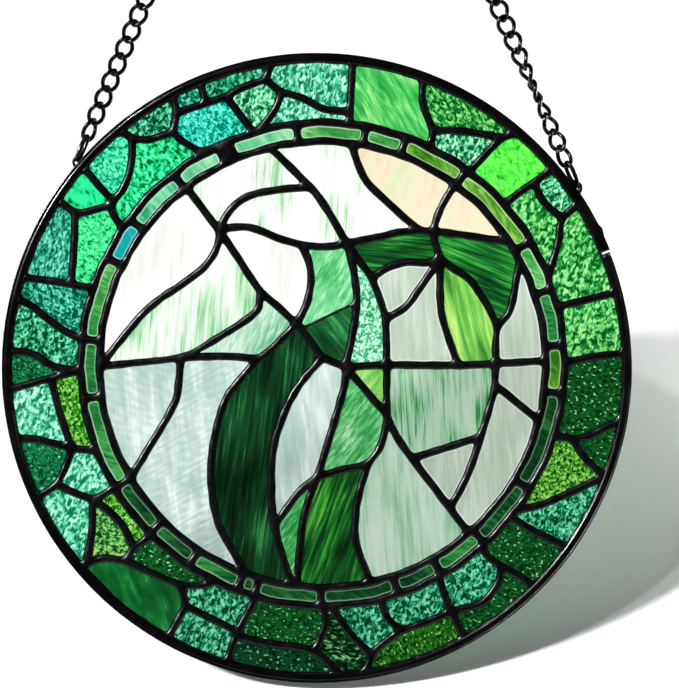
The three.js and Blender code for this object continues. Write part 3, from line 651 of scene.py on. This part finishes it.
# %% Opalescent, wispy and streaky sheets
# Each row: the turn of the streaks in degrees, their width and length in mm, and the colour steps.
STREAKY = {
    # Milky whites and cream: an even glow, and in the wispy ones threads of green smoke.
    "white_opal": (-4, 3, 30, {0: "#e8f1e8", 0.3: "#f8f6f1", 0.55: "#fffcf9", 1: "#ffffff"}),
    "white_wispy": (-3, 2.2, 30, {0: "#ffffff", 0.55: "#fbfffa", 0.8: "#dff3dc", 1: "#94d69c"}),
    "streaked_white_green": (-4, 2.0, 34, {0: "#ffffff", 0.45: "#effbee", 0.7: "#c4ecc4",
                                           1: "#74c480"}),
    "pale_green_wispy": (-25, 2.0, 9, {0: "#d8f2e0", 0.5: "#a9dabc", 1: "#5fb088"}),
    "cream_wispy": (-18, 4, 34, {0: "#e0ebba", 0.35: "#efedc8", 0.7: "#f8e8cc", 1: "#f2dabc"}),
    # Grey opals: cool and flat. The pearl one follows the painted light and shade of its face's relief,
    # as a faint painted sheen. Two more have green drawn into the grey.
    "pearl_opal": (6, 5, 34, {0: "#b0cbc2", 0.45: "#c2d9d0", 0.75: "#d2e5dd", 1: "#e6f4ee"}),
    "grey_opal": (3, 3, 34, {0: "#b4c7b4", 0.5: "#c2d2c1", 1: "#d4e0d2"}),
    "grey_streaked": (3, 1.7, 30, {0: "#c4dcc8", 0.45: "#b4d6ba", 0.65: "#94cba0", 0.85: "#46a05e",
                                   1: "#1f743c"}),
    "pale_sail_green": (4, 2.6, 36, {0: "#d2e6d6", 0.5: "#bcdcc6", 1: "#86c298"}),
    # Leaf greens: bright, with brushed pale streaks along the leaf.
    "leaf_green": (-38, 1.7, 9, {0: "#1f8a3c", 0.4: "#4cb864", 0.7: "#80d68e", 1: "#c4f4c8"}),
    "blade_green": (-30, 1.8, 9, {0: "#3fae5c", 0.4: "#6cd386", 0.7: "#96e8ae", 1: "#c9f8d2"}),
    "lime_green": (14, 2.6, 26, {0: "#2f7f2c", 0.35: "#63b848", 0.65: "#8ed55f", 1: "#c9ee7f"}),
    # Deep greens: almost black where dense, lit only along a few streaks.
    "deep_green_streaky": (68, 1.7, 30, {0: "#06260f", 0.35: "#0f5220", 0.65: "#238a32",
                                         1: "#5ccc50"}),
    "deep_green_level": (84, 1.7, 30, {0: "#041c0b", 0.4: "#0b421a", 0.7: "#1c742b", 1: "#4cb848"}),
    "deep_green_upright": (-8, 1.6, 34, {0: "#04180b", 0.45: "#0b331a", 0.75: "#14522a",
                                         1: "#3a8f46"}),
    "stem_green": (-20, 1.7, 26, {0: "#07260f", 0.4: "#10501f", 0.7: "#2a8a2c", 1: "#66c845"}),
    "wedge_green": (40, 2.0, 18, {0: "#0b3a1c", 0.45: "#1a6030", 0.8: "#2f8a45", 1: "#5cb86a"}),
    # Single accents: a yellow, a spring green and a deep one with soft clouds.
    "yellow_green": (-35, 2, 14, {0: "#4aa53c", 0.5: "#85d06a", 1: "#c6ee8c"}),
    "spring_green_streaky": (30, 2.0, 12, {0: "#1f8f3c", 0.4: "#3fbf58", 0.7: "#6fdc74",
                                           1: "#b4f4a0"}),
    "smooth_deep_green": (20, 5, 16, {0: "#07401b", 0.5: "#0f6228", 0.85: "#1d7e38", 1: "#4fae5c"}),
    # Glass of the band's tiles: small calm pieces, each outlined by a painted highlight, a paler colour along
    # the solder.
    "band_green": (70, 2, 8, {0: "#1d7a2c", 0.5: "#43a04a", 1: "#8fd88a"}),
    "band_olive": (30, 2, 7, {0: "#2c6a14", 0.5: "#4f9a26", 1: "#9ad068"}),
    "band_deep_green": (80, 2, 9, {0: "#0c4a20", 0.5: "#1f7a36", 1: "#4fae58"}),
    "band_dark_green": (60, 2, 9, {0: "#062a12", 0.5: "#0f4a22", 1: "#2f8040"}),
    "band_mint": (30, 3, 12, {0: "#4fb877", 0.5: "#74cf96", 1: "#b0ecc0"}),
    "band_sea_green": (40, 2.4, 10, {0: "#1f8f5c", 0.5: "#35b078", 1: "#84dcae"}),
    "band_teal": (30, 6, 12, {0: "#0d9a9c", 0.5: "#12aeb0", 1: "#40c8c4"}),
}
SPECIAL = {
    "pearl_opal": {"roughness": 0.14, "relief": 0.35},
    "leaf_green": {"fine": 0.8}, "blade_green": {"fine": 0.8},
    # pale is the colour of a painted highlight along the glass's edge by the solder.
    "grey_opal": {"pale": "#f0fbf2"}, "band_green": {"pale": "#d2f4d0"},
    "band_olive": {"pale": "#d2f0b8"}, "band_deep_green": {"pale": "#b4e4b8"},
    "band_dark_green": {"pale": "#9cc8a4"}, "band_mint": {"pale": "#dcfae4"},
    "band_sea_green": {"pale": "#ccf4e0"}, "band_teal": {"pale": "#c0f4f0"},
}
finishes = {name: streaky_glass(name + "_glass", *row, **SPECIAL.get(name, {}))
            for name, row in STREAKY.items()}
print(len(finishes), "streaky finishes")

# %% Cathedral sheets
# Each row: colours from dark to a painted glint, the wrinkles' size in mm, their stretch and turn,
# then marks and dashes. Clear glass gathers light in its wrinkles, and here that light is painted:
# bright threads over darker hollows.
ROLLED = {
    # Mints and greens with painted sparkle all over.
    "mint_rolled": ("#1f8f62 #60c592 #9ceabe #d6ffe8", 1.9, 1.3),
    "mint_and_deep_green": ("#084f2c #249a60 #72e6a0 #c8ffdc", 1.8),
    "green_rolled": ("#034916 #16802b #46ba4e #98ed90", 1.4, 2.2, 40),
    "dark_green_rolled": ("#001908 #073a15 #115924 #98d799", 1.7, 2.4, 75, 0.04),
    "light_green_rolled": ("#055820 #228f39 #5fce66 #a6ed99", 2.2),
    "fresh_green_rolled": ("#06703a #1fcf6c #39e884 #67ffb0", 1.4, 1.8, 50, -0.04),
    "yellow_green_rolled": ("#06490e #2d8a20 #66bd3c #ace370", 1.5, 1.4, 10),
    "bright_green_rolled": ("#169020 #3cde34 #4ae83e #70f85c", 2.6, 1.5, 30, -0.12),
    # Teals and turquoises: bluer, with long bent wrinkles.
    "teal_green_rolled": ("#023b25 #0c7149 #34b97e #92edc6", 1.8),
    "teal_wrinkled": ("#04533d #15896d #3fc39e #92edcd", 1.3, 2.8, -18),
    "teal_rolled": ("#014c36 #0a8763 #33c197 #8eedd0", 1.9, 1.3, 30),
    "aqua_rolled": ("#02755e #0bb892 #2fe4c2 #88fff4", 1.5, 1.3, 45),
    "aqua_mint_rolled": ("#127450 #44c090 #80e8bc #ccffee", 2.0, 1.8),
    "turquoise_rolled": ("#02704a #10b880 #28dc9c #80ffd0", 1.5, 1.5, 20, -0.04),
    "emerald_rolled": ("#015a2c #06b062 #15da80 #5fffc0", 2.2, 1.4, 30, -0.05),
    "flat_emerald": ("#01602a #0cd47c #14e088 #34f0a0", 2.6, 2.4, 30, -0.12),
    "olive_rolled": ("#073a19 #227636 #66b659 #a7db70", 1.6, 1.4, 60),
    # Dark sheets with short painted glints, where the roller's marks would catch the lamp.
    "deep_green_dashed": ("#022c0e #084a18 #106024 #b0f5b8", 1.6, 1.5, 60, 0.0, 0.85),
    "dark_green_dashed": ("#012014 #053a20 #0a4a28 #a8eec0", 1.7, 2, 75, 0.0, 0.8),
    "deep_teal_dashed": ("#03361e #0a5a34 #128048 #8cecbc", 1.6, 1.5, 30, 0.0, 0.8),
    "yellow_green_dashed": ("#052c07 #125a10 #2a7a1c #b0ee94", 1.6, 1.5, 20, 0.0, 0.8),
}
finishes.update({name: rolled_glass(name + "_glass", *row) for name, row in ROLLED.items()})
print(len(finishes), "finishes of glass in all")

# %% [markdown]
# ## Sheets of glass
# Each glass is a closed sheet 3 mm thick that reaches half a millimetre under the solder. Its
# front carries the roller's relief, a height field over the sheet: hammered glass is a crowd of
# small domes, one round each point of a jittered grid, and ripple glass the same domes drawn out
# to one side. Two numbers are stored with the points, because the colour follows them: painted
# light and shade of the relief, taken from how high the relief is there and how it slopes towards
# the upper left, and the distance to the solder.
# Glasses that one solid stands for make one piece, in their own finishes.

# %% Glass sheets
GLASS_HALF = 1.5
UNDER_SOLDER = 0.5
EDGE_ROWS = (0.3, 0.8)
# The direction, in mm, along which the relief's slope is taken for its painted light and shade.
UPPER_LEFT = np.array([-0.26, 0.36])


def scattered(cell, seed):
    """Two numbers from 0 to 1 that look random but belong to the cell."""
    code = cell[:, 0] * 127.1 + cell[:, 1] * 311.7 + seed * 74.7
    return np.stack([np.sin(code) * 43758.5453 % 1, np.sin(code * 1.7 + 5) * 24634.6345 % 1], 1)


def turned(plan, turn):
    """Each point turned about the origin by degrees: (x, z) times the rotation's matrix."""
    angle = math.radians(turn)
    return plan @ np.array([[math.cos(angle), -math.sin(angle)], [math.sin(angle), math.cos(angle)]])


def domes(plan, size, stretch, turn, seed):
    """1 - (distance to the nearest centre / radius) ** 2 over a jittered grid of centres."""
    local = turned(plan, turn) / (size * stretch, size)
    cell = np.floor(local)
    nearest = np.full(len(plan), 9.0)
    for step_x in (-1, 0, 1):
        for step_z in (-1, 0, 1):
            home = cell + (step_x, step_z)
            away = local - home - 0.1 - 0.8 * scattered(home, seed)
            nearest = np.minimum(nearest, np.hypot(*away.T))
    return np.clip(1 - (nearest / 0.8) ** 2, 0, 1)


def waves(plan, size, stretch, turn, seed):
    """Unevenness drawn out along one direction, from 0 to 1."""
    return 0.5 + 0.5 * np.clip(uneven(turned(plan, turn) / (stretch, 1), size, seed), -1, 1)


# Each relief: its pattern, size in mm, stretch, turn in degrees, height in mm and grid in mm.
RELIEFS = {
    "plain": (waves, 16, 1, 0, 0.10, 2.0),
    "soft": (waves, 7, 1.6, 15, 0.16, 1.4),
    "hammered": (domes, 3.3, 1, 12, 0.34, 0.75),
    "fine": (domes, 2.2, 1.15, 30, 0.22, 0.62),
    "ripple": (domes, 3.0, 1.9, -15, 0.34, 0.75),
    "steep": (domes, 2.6, 1.8, 55, 0.30, 0.7),
    "wavy": (waves, 4.2, 1.7, -25, 0.42, 0.85),
    "waved": (waves, 9, 1.4, 35, 0.14, 1.2),
    "rippled": (waves, 2.6, 2.8, 8, 0.2, 0.85),
    "cracked": (waves, 6, 1.2, 10, 0.2, 1.0),
}


def sheet_of_glass(loop, relief, seed):
    """The points and faces of one glass, with each point's distance to the outline and the painted
    light and shade of its relief: 0.5 + 0.45 * (relief - 0.5) + 0.5 * its slope to the upper left, from 0 to
    1."""
    pattern, size, stretch, turn, height, spacing = RELIEFS[relief]
    rows = [moved_out(loop, -offset) for offset in EDGE_ROWS]
    rows = [row[inside(row, loop) & (to_outline(row, loop) > offset - 0.05)]
            for row, offset in zip(rows, EDGE_ROWS)]
    grid = grid_over(loop, spacing)
    grid = grid[inside(grid, loop)]
    grid = grid[to_outline(grid, loop) > EDGE_ROWS[1] + 0.6 * spacing]
    plan, triangles = filled(moved_out(loop, UNDER_SOLDER), [], np.vstack([*rows, grid]))
    depth = to_outline(plan, loop) * np.where(inside(plan, loop), 1, -1)
    relief_of = lambda at: pattern(at, size, stretch, turn + 20 * math.sin(seed), seed)
    field = relief_of(plan)
    # Painted light and shade: brighter on the relief's crests and where it rises towards the upper left.
    slope = relief_of(plan + UPPER_LEFT) - relief_of(plan - UPPER_LEFT)
    tone = np.clip(0.5 + 0.45 * (field - 0.5) + 0.5 * slope, 0, 1)
    raised = height * (field - 0.4) * np.clip(depth / 1.2, 0, 1)
    behind = 0.05 * uneven(plan, 9, seed + 50)
    points, faces = closed_sheet(plan, triangles, -(GLASS_HALF + raised), GLASS_HALF + behind)
    return points, faces, np.tile(depth, 2), np.tile(tone, 2)


def owner_of(loop):
    """The solid of glass whose front face holds the outline's deepest point."""
    grid = grid_over(loop, 2.0)
    grid = grid[inside(grid, loop)]
    deepest = grid[np.argmax(to_outline(grid, loop))]
    for name, faces in glass_faces.items():
        a, b, c = faces.transpose(1, 0, 2)
        sides = np.array([cross(p, q, deepest) for p, q in ((a, b), (b, c), (c, a))])
        if np.any(np.all(sides >= 0, 0) | np.all(sides <= 0, 0)):
            return name
    raise ValueError("an outline lies over no glass")


def front_faces(node, depth):
    """The triangles of a solid at that depth, as [x, z] corners in mm from the panel's middle."""
    points, triangles = front_of(node, depth)
    return points[triangles][:, :, [0, 2]] / MM - MIDDLE_MM


glass_faces = {name: front_faces(name, -GLASS_HALF * MM) for name in sorted(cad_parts)
               if "glass" in name or "tiles" in name}
glasses = {}
for loop in outlines:
    glasses.setdefault(owner_of(loop), []).append(loop)


def clockwise(loop):
    """The angle of the outline's middle, clockwise from the top of the panel."""
    x, z = loop.mean(0)
    return math.degrees(math.atan2(x, z)) % 360


for loops in glasses.values():
    loops.sort(key=clockwise)

# %% Which glass has which finish
# A relief, then the finishes that have it, clockwise where one solid stands for several glasses.
# Where the list is shorter than the glasses, it starts again.
LOOKS = {
    "glass_left_white_sail": "plain white_opal",
    "glass_left_streaked_leaf": "plain streaked_white_green",
    "glass_left_pale_green_petal": "soft pale_green_wispy",
    "glass_top_left_white_wisp": "plain white_wispy",
    "glass_top_white_leaf": "plain white_wispy",
    "glass_inner_white_leaf": "plain white_opal",
    "glass_top_streaked_sail": "plain white_wispy",
    "glass_top_cream_sail": "plain cream_wispy",
    "glass_top_right_cream_corner": "plain cream_wispy",
    "glass_centre_green_blade": "soft blade_green",
    "glass_centre_dark_green_wedge": "plain wedge_green",
    "glass_centre_mint_strip": "hammered mint_rolled",
    "glass_centre_dark_green_band": "plain deep_green_level",
    "glass_right_dark_green_arch": "plain deep_green_streaky",
    "glass_centre_grey_petal": "plain grey_opal",
    "glass_centre_grey_panel": "soft grey_opal",
    "glass_right_lime_leaf": "plain lime_green",
    "glass_right_grey_fin": "plain grey_opal",
    "glass_right_pale_corner": "plain grey_opal",
    "glass_right_streaked_panel": "plain grey_streaked",
    "glass_low_right_pearl_strip": "plain grey_opal",
    "glass_low_right_triangle": "plain grey_opal",
    "glass_small_green_triangle": "soft yellow_green",
    "glass_middle_green_leaf": "soft leaf_green",
    "glass_low_pale_sail": "plain pale_sail_green",
    "glass_low_dark_green_stem": "plain stem_green",
    "glass_low_green_wedge": "soft leaf_green",
    "glass_middle_pearl_oval": "plain pearl_opal",
    "glass_big_dark_green_curve": "plain deep_green_upright",
    "glass_low_left_pearl_crescent": "rippled pearl_opal",
    "glass_low_left_pearl_leaf": "rippled pearl_opal",
    "band_tiles_top": "waved band_green band_green band_olive band_olive band_mint",
    "band_tiles_right": "waved band_green band_deep_green band_olive band_dark_green band_dark_green",
    "band_tiles_bottom": "waved band_deep_green band_dark_green band_dark_green band_dark_green "
                         "band_dark_green band_deep_green band_dark_green band_dark_green",
    "band_tiles_left": "waved band_deep_green band_deep_green band_green plain band_teal waved "
                       "band_sea_green band_mint",
    "border_glass_01": "waved spring_green_streaky fine green_rolled mint_and_deep_green",
    "border_glass_02": "cracked bright_green_rolled fine mint_and_deep_green ripple light_green_rolled",
    "border_glass_03": "ripple light_green_rolled",
    "border_glass_04": "steep deep_green_dashed",
    "border_glass_05": "steep deep_green_dashed fine yellow_green_rolled ripple teal_green_rolled",
    "border_glass_06": "steep deep_green_dashed deep_green_dashed ripple teal_green_rolled",
    "border_glass_07": "ripple teal_green_rolled steep yellow_green_dashed hammered teal_green_rolled",
    "border_glass_08": "steep dark_green_rolled dark_green_dashed hammered deep_green_dashed",
    "border_glass_09": "hammered teal_green_rolled",
    "border_glass_10": "hammered deep_green_dashed waved smooth_deep_green",
    "border_glass_11": "fine olive_rolled ripple yellow_green_rolled wavy aqua_mint_rolled",
    "border_glass_12": "hammered aqua_mint_rolled deep_teal_dashed",
    "border_glass_13": "fine yellow_green_rolled ripple aqua_mint_rolled hammered deep_teal_dashed",
    "border_glass_14": "hammered teal_green_rolled waved teal_rolled",
    "border_glass_15": "fine teal_wrinkled fresh_green_rolled cracked flat_emerald",
    "border_glass_16": "fine turquoise_rolled hammered emerald_rolled teal_green_rolled",
    "border_glass_17": "fine teal_rolled hammered aqua_rolled steep teal_green_rolled",
    "border_glass_18": "fine mint_and_deep_green aqua_mint_rolled wavy aqua_mint_rolled",
}


def looks_of(words):
    """Pairs of a relief and a finish, one for each finish that the words name."""
    looks, relief = [], None
    for word in words.split():
        if word in RELIEFS:
            relief = word
        else:
            looks.append((relief, word))
    return looks


count = 0
for name, loops in glasses.items():
    looks = looks_of(LOOKS[name])
    looks = [looks[k % len(looks)] for k in range(len(loops))]
    sheets = [sheet_of_glass(loop, relief, count + k)
              for k, (loop, (relief, _)) in enumerate(zip(loops, looks))]
    count += len(loops)
    points, faces = gathered(sheets)
    materials = [finishes[finish] for _, finish in looks]
    piece = new_piece(name + "_sheet", points, faces, materials[0], replaced=[name])
    for material in materials[1:]:
        piece.data.materials.append(material)
    wears = np.repeat(np.arange(len(sheets)), [len(sheet[1]) for sheet in sheets])
    piece.data.polygons.foreach_set("material_index", wears)
    for attribute, which in (("depth_mm", 2), ("tone", 3)):
        layer = piece.data.attributes.new(attribute, "FLOAT", "POINT")
        layer.data.foreach_set("value", np.concatenate([sheet[which] for sheet in sheets]))
print(count, "glasses in", len(glasses), "pieces")

# %% [markdown]
# ## Rim
# The edge of the panel is framed in a metal channel, bent round the glass and painted gloss
# black. Its section is carried round the circle from one side of the seam to the other and
# capped at both ends. On the front a fine groove runs near its outer edge. The folded lips are
# rounded, and the stretch between the right loop and the seam stands a little proud, with one
# small lump.

# %% Rim
RIM_RADIUS = 150
RIM_FACE = 145.8
RIM_WALL = 148.4
RIM_LIP = 3.2
RIM_SLOT = 1.75
SEAM_ANGLE = 21.8
SEAM_GAP = 0.8
FLARE_END = 34.9
PROUD = 0.55
LUMP_ANGLE, LUMP_WIDTH, LUMP_HEIGHT = 25.9, 0.7, 0.9


def softened(corners, step, rounds):
    """A closed outline through the corners, cut into equal steps and averaged with its neighbours."""
    closed = np.vstack([corners, corners[:1]])
    points = np.vstack([evenly(closed[k:k + 2], step)[:-1] for k in range(len(corners))])
    return averaged(points, rounds)


def grid_faces(rows, columns, close_rows=False):
    """Quads between neighbouring rows and columns, as pairs of triangles; the columns close up."""
    i, j = np.meshgrid(np.arange(rows - (not close_rows)), np.arange(columns), indexing="ij")
    i2, j2 = (i + 1) % rows, (j + 1) % columns
    a, b, c, d = (p.ravel() for p in (i * columns + j, i * columns + j2, i2 * columns + j2, i2 * columns + j))
    return np.concatenate([np.stack([a, b, c], 1), np.stack([a, c, d], 1)])


def fan(first, count):
    """Triangles from one corner of a ring of points to all its other edges."""
    k = np.arange(1, count - 1) + first
    return np.stack([np.full(count - 2, first), k, k + 1], 1)


def polygon_cap(section, first):
    """Triangles that fill a section outline, numbered from first."""
    return np.array(geometry.tessellate_polygon([[Vector((*p, 0)) for p in section.tolist()]])) + first


channel = np.array([(RIM_WALL, -RIM_SLOT), (RIM_FACE, -RIM_SLOT), (RIM_FACE, 0.38 - RIM_LIP),
                    (146.75, -RIM_LIP), (148.2, -RIM_LIP), (148.95, -2.9), (149.2, -RIM_LIP),
                    (RIM_RADIUS, -RIM_LIP), (RIM_RADIUS, RIM_LIP), (RIM_FACE, RIM_LIP),
                    (RIM_FACE, RIM_SLOT), (RIM_WALL, RIM_SLOT)])
section = softened(channel, 0.22, 3)
half_gap = math.degrees(SEAM_GAP / 2 / RIM_RADIUS)
around = np.radians(np.linspace(SEAM_ANGLE + half_gap, SEAM_ANGLE + 360 - half_gap, 520))
degrees = np.degrees(around)
proud = PROUD * (1 / (1 + np.exp(-(FLARE_END - degrees) / 0.5)))
proud += LUMP_HEIGHT * np.exp(-((degrees - LUMP_ANGLE) / LUMP_WIDTH) ** 2)
outwards = np.clip((section[:, 0] - 147.5) / 2, 0, 1)
radius = section[None, :, 0] + proud[:, None] * outwards
radius = radius + 0.03 * uneven(circle(around, RIM_RADIUS), 22, 21)[:, None]
points = np.stack([radius * np.cos(around)[:, None] * MM + MIDDLE_X,
                   np.broadcast_to(section[None, :, 1] * MM, radius.shape),
                   radius * np.sin(around)[:, None] * MM + MIDDLE_Z], 2).reshape(-1, 3)
faces = grid_faces(len(around), len(section))
caps = [polygon_cap(section, first) for first in (0, (len(around) - 1) * len(section))]
# Metal under gloss black paint: deep black, with long clean glints along its bends.
black_rim = dark_metal("gloss_black_channel", "#020203", "#060608", 0.0, 0.12, 22, 0.32)


def outward(points, faces):
    """The faces, all turned round if the volume they enclose comes out negative."""
    a, b, c = points[faces].transpose(1, 0, 2)
    return faces if (np.cross(a, b) * c).sum() > 0 else faces[:, ::-1]


def matched_cap(cap, faces):
    """The cap, turned so that its edges run against those of the faces they meet."""
    used = {tuple(edge) for k in range(3) for edge in np.roll(faces, k, 1)[:, :2].tolist()}
    against = sum(tuple(edge) in used for k in range(3) for edge in np.roll(cap, k, 1)[:, :2].tolist())
    return cap[:, ::-1] if against else cap


faces = outward(points, np.concatenate([faces, *(matched_cap(cap, faces) for cap in caps)]))
new_piece("rim_channel", points, faces, black_rim, replaced=["rim"])
print("rim:", len(faces), "triangles")

# %% [markdown]
# ## Wire parts
# The loops, the chain and the hanging ring are all round wire, bent to a path. A tube is a circle
# carried along the path. At every place the two directions across the path come from one fixed
# guide, so that the tube doesn't twist. A chain link is an oval whose plane turns a quarter as it
# runs from one end to the other, which is what makes a curb chain lie flat.

# %% Tubes
def tangents(path, closed):
    """The direction from each point's last neighbour to its next, made one long."""
    ahead, behind = np.roll(path, -1, 0), np.roll(path, 1, 0)
    if not closed:
        ahead[-1], behind[0] = path[-1], path[0]
    along = ahead - behind
    return along / np.linalg.norm(along, axis=1)[:, None]


def tube(path, radius, sides, closed=False, guide=(0, 1, 0)):
    """place + radius * (cos(a) * u + sin(a) * v). u is the guide less its part along the path, made
    one long, and v is square to both. Open ends are domed."""
    along = tangents(path, closed)
    u = np.array(guide, float) - along * (along @ np.array(guide, float))[:, None]
    u /= np.linalg.norm(u, axis=1)[:, None]
    v = np.cross(along, u)
    radii = np.full(len(path), float(radius))
    if not closed:
        swell, back = np.array([0.02, 0.55, 0.85]), np.array([1.0, 0.8, 0.5])
        starts = path[0] - along[0] * (back * radius)[:, None]
        ends = path[-1] + along[-1] * (back[::-1] * radius)[:, None]
        path = np.vstack([starts, path, ends])
        radii = np.concatenate([swell * radius, radii, swell[::-1] * radius])
        u, v = (np.vstack([np.repeat(w[:1], 3, 0), w, np.repeat(w[-1:], 3, 0)]) for w in (u, v))
    a = np.linspace(0, 2 * math.pi, sides, endpoint=False)[None, :, None]
    points = path[:, None] + radii[:, None, None] * (np.cos(a) * u[:, None] + np.sin(a) * v[:, None])
    points = points.reshape(-1, 3)
    faces = grid_faces(len(path), sides, close_rows=closed)
    if not closed:
        caps = [matched_cap(fan(first, sides), faces) for first in (0, (len(path) - 1) * sides)]
        faces = np.concatenate([faces, *caps])
    return points, outward(points, faces)


# %% Chains
WIRE = 2.1
LINK_PITCH = 8.5
LINK_WIDTH = 9.4
CONNECTOR_LENGTH = 14.6
CONNECTOR_WIDTH = 6.6
LINK_LAP = 2.0
LINK_STEPS = 40
OFF_AXIS = (0.13, 0.21, 0.97)
CONNECTOR_TURN = 0.55  # radians
RING_RADIUS = 9.0
RING_WIRE = 2.2
HOLD_RADIUS = 6.4
HOLD_ANGLE = 36
LOOP_ANGLES = {"left": 139.1, "right": 34.9}
HOOK_RADIUS = 151.3
RING_HEIGHT = -(RING_RADIUS - RING_WIRE / 2)

# Steel wire, plated black: a dark mirror with a grey glint on each link.
black_chain = dark_metal("black_plated_steel", "#2c2c30", "#454448", 1.0, 0.1, 4)


def link(length, width, start, end):
    """x = long * cos(t), y = wide * sin(t), a little fuller at one end, with the plane turned about X
    from start to end with x."""
    t = np.linspace(0, 2 * math.pi, LINK_STEPS, endpoint=False)
    long, wide = (length - WIRE) / 2, (width - WIRE) / 2
    x = long * np.cos(t)
    egg = wide * np.sin(t) * (1 + 0.1 * np.cos(t))
    turn = start + (end - start) * (0.5 + x / (2 * long))
    path = np.stack([x, egg * np.cos(turn), egg * np.sin(turn)], 1)
    return tube(path, WIRE / 2, 10, closed=True, guide=OFF_AXIS)


def chain(reach, roll):
    """The connector, then links one pitch apart; roll(share) is how far the chain has turned there."""
    connector_reach = CONNECTOR_LENGTH - WIRE
    count = round((reach - connector_reach) / LINK_PITCH)
    pitch = (reach - connector_reach) / count
    points, faces = link(CONNECTOR_LENGTH, CONNECTOR_WIDTH, CONNECTOR_TURN, CONNECTOR_TURN)
    parts = [(points + (connector_reach / 2, 0, 0), faces)]
    for place in range(count):
        start = math.pi / 2 if place == 0 else math.pi / 4
        end = 0 if place == count - 1 else 3 * math.pi / 4
        turn = math.radians(roll((place + 0.5) / count))
        points, faces = link(pitch + LINK_LAP + WIRE, LINK_WIDTH, start + turn, end + turn)
        parts.append((points + (connector_reach + pitch * (place + 0.5) - LINK_LAP / 2, 0, 0), faces))
    return gathered(parts)


def on_circle(angle, radius, middle=(0, 0)):
    """middle + radius * (cos, sin) of an angle in degrees."""
    turn = math.radians(angle)
    return np.array(middle) + radius * np.array([math.cos(turn), math.sin(turn)])


def set_down(points, start, along):
    """Points with X turned to the direction along and Z square to it, moved to start."""
    return np.stack([start[0] + points[:, 0] * along[0] - points[:, 2] * along[1], points[:, 1],
                     start[1] + points[:, 0] * along[1] + points[:, 2] * along[0]], 1)


def hung_chain(side, roll):
    """A chain along X, turned to run from the loop on the rim to the hanging ring."""
    start = on_circle(LOOP_ANGLES[side], HOOK_RADIUS, MIDDLE_MM)
    lean = -HOLD_ANGLE if side == "left" else HOLD_ANGLE
    end = on_circle(lean - 90, HOLD_RADIUS, (0, RING_HEIGHT))
    along = (end - start) / np.hypot(*(end - start))
    points, faces = chain(np.hypot(*(end - start)), roll)
    placed = set_down(points, start, along)
    new_piece(f"curb_chain_{side}", placed * MM, outward(placed, faces), black_chain,
              replaced=[f"chain_{side}"])
    return len(faces)


def eased_roll(share):
    """The left chain starts 32 degrees round and eases to nothing: 32 * exp(-(share / 0.2) ** 2)."""
    return 32 * math.exp(-(share / 0.2) ** 2)


def half_turn(share):
    """The right chain turns over near its foot: 180 / (1 + exp((0.14 - share) / 0.05))."""
    return 180 / (1 + math.exp((0.14 - share) / 0.05))


print("chains:", hung_chain("left", eased_roll), hung_chain("right", half_turn), "triangles")

# %% Hanging ring and loops
turns = np.linspace(0, 2 * math.pi, 72, endpoint=False)
ring_path = np.stack([RING_RADIUS * np.cos(turns), 0 * turns, RING_HEIGHT + RING_RADIUS * np.sin(turns)], 1)
points, faces = tube(ring_path, RING_WIRE / 2, 16, closed=True)
new_piece("hanging_ring_wire", points * MM, faces, black_chain, replaced=["hanging_ring"])

LOOP_HALF = 2.7
LOOP_SEAT = 150.2
LOOP_WIRES = {"left": 1.4, "right": 2.3}
for side, angle in LOOP_ANGLES.items():
    t = np.linspace(0, math.pi, 18)
    arch = np.stack([LOOP_HALF * np.cos(t), 0 * t, LOOP_HALF * np.sin(t) - 0.2], 1)
    path = np.vstack([(LOOP_HALF, 0, -0.9), arch, (-LOOP_HALF, 0, -0.9)])
    wire = tube(path, LOOP_WIRES[side] / 2, 12)
    out = on_circle(angle, 1)
    points = set_down(wire[0], on_circle(angle, LOOP_SEAT, MIDDLE_MM), (out[1], -out[0]))
    new_piece(f"rim_loop_{side}", points * MM, outward(points, wire[1]), black_solder,
              replaced=[f"loop_{side}"])
print("ring and loops made")
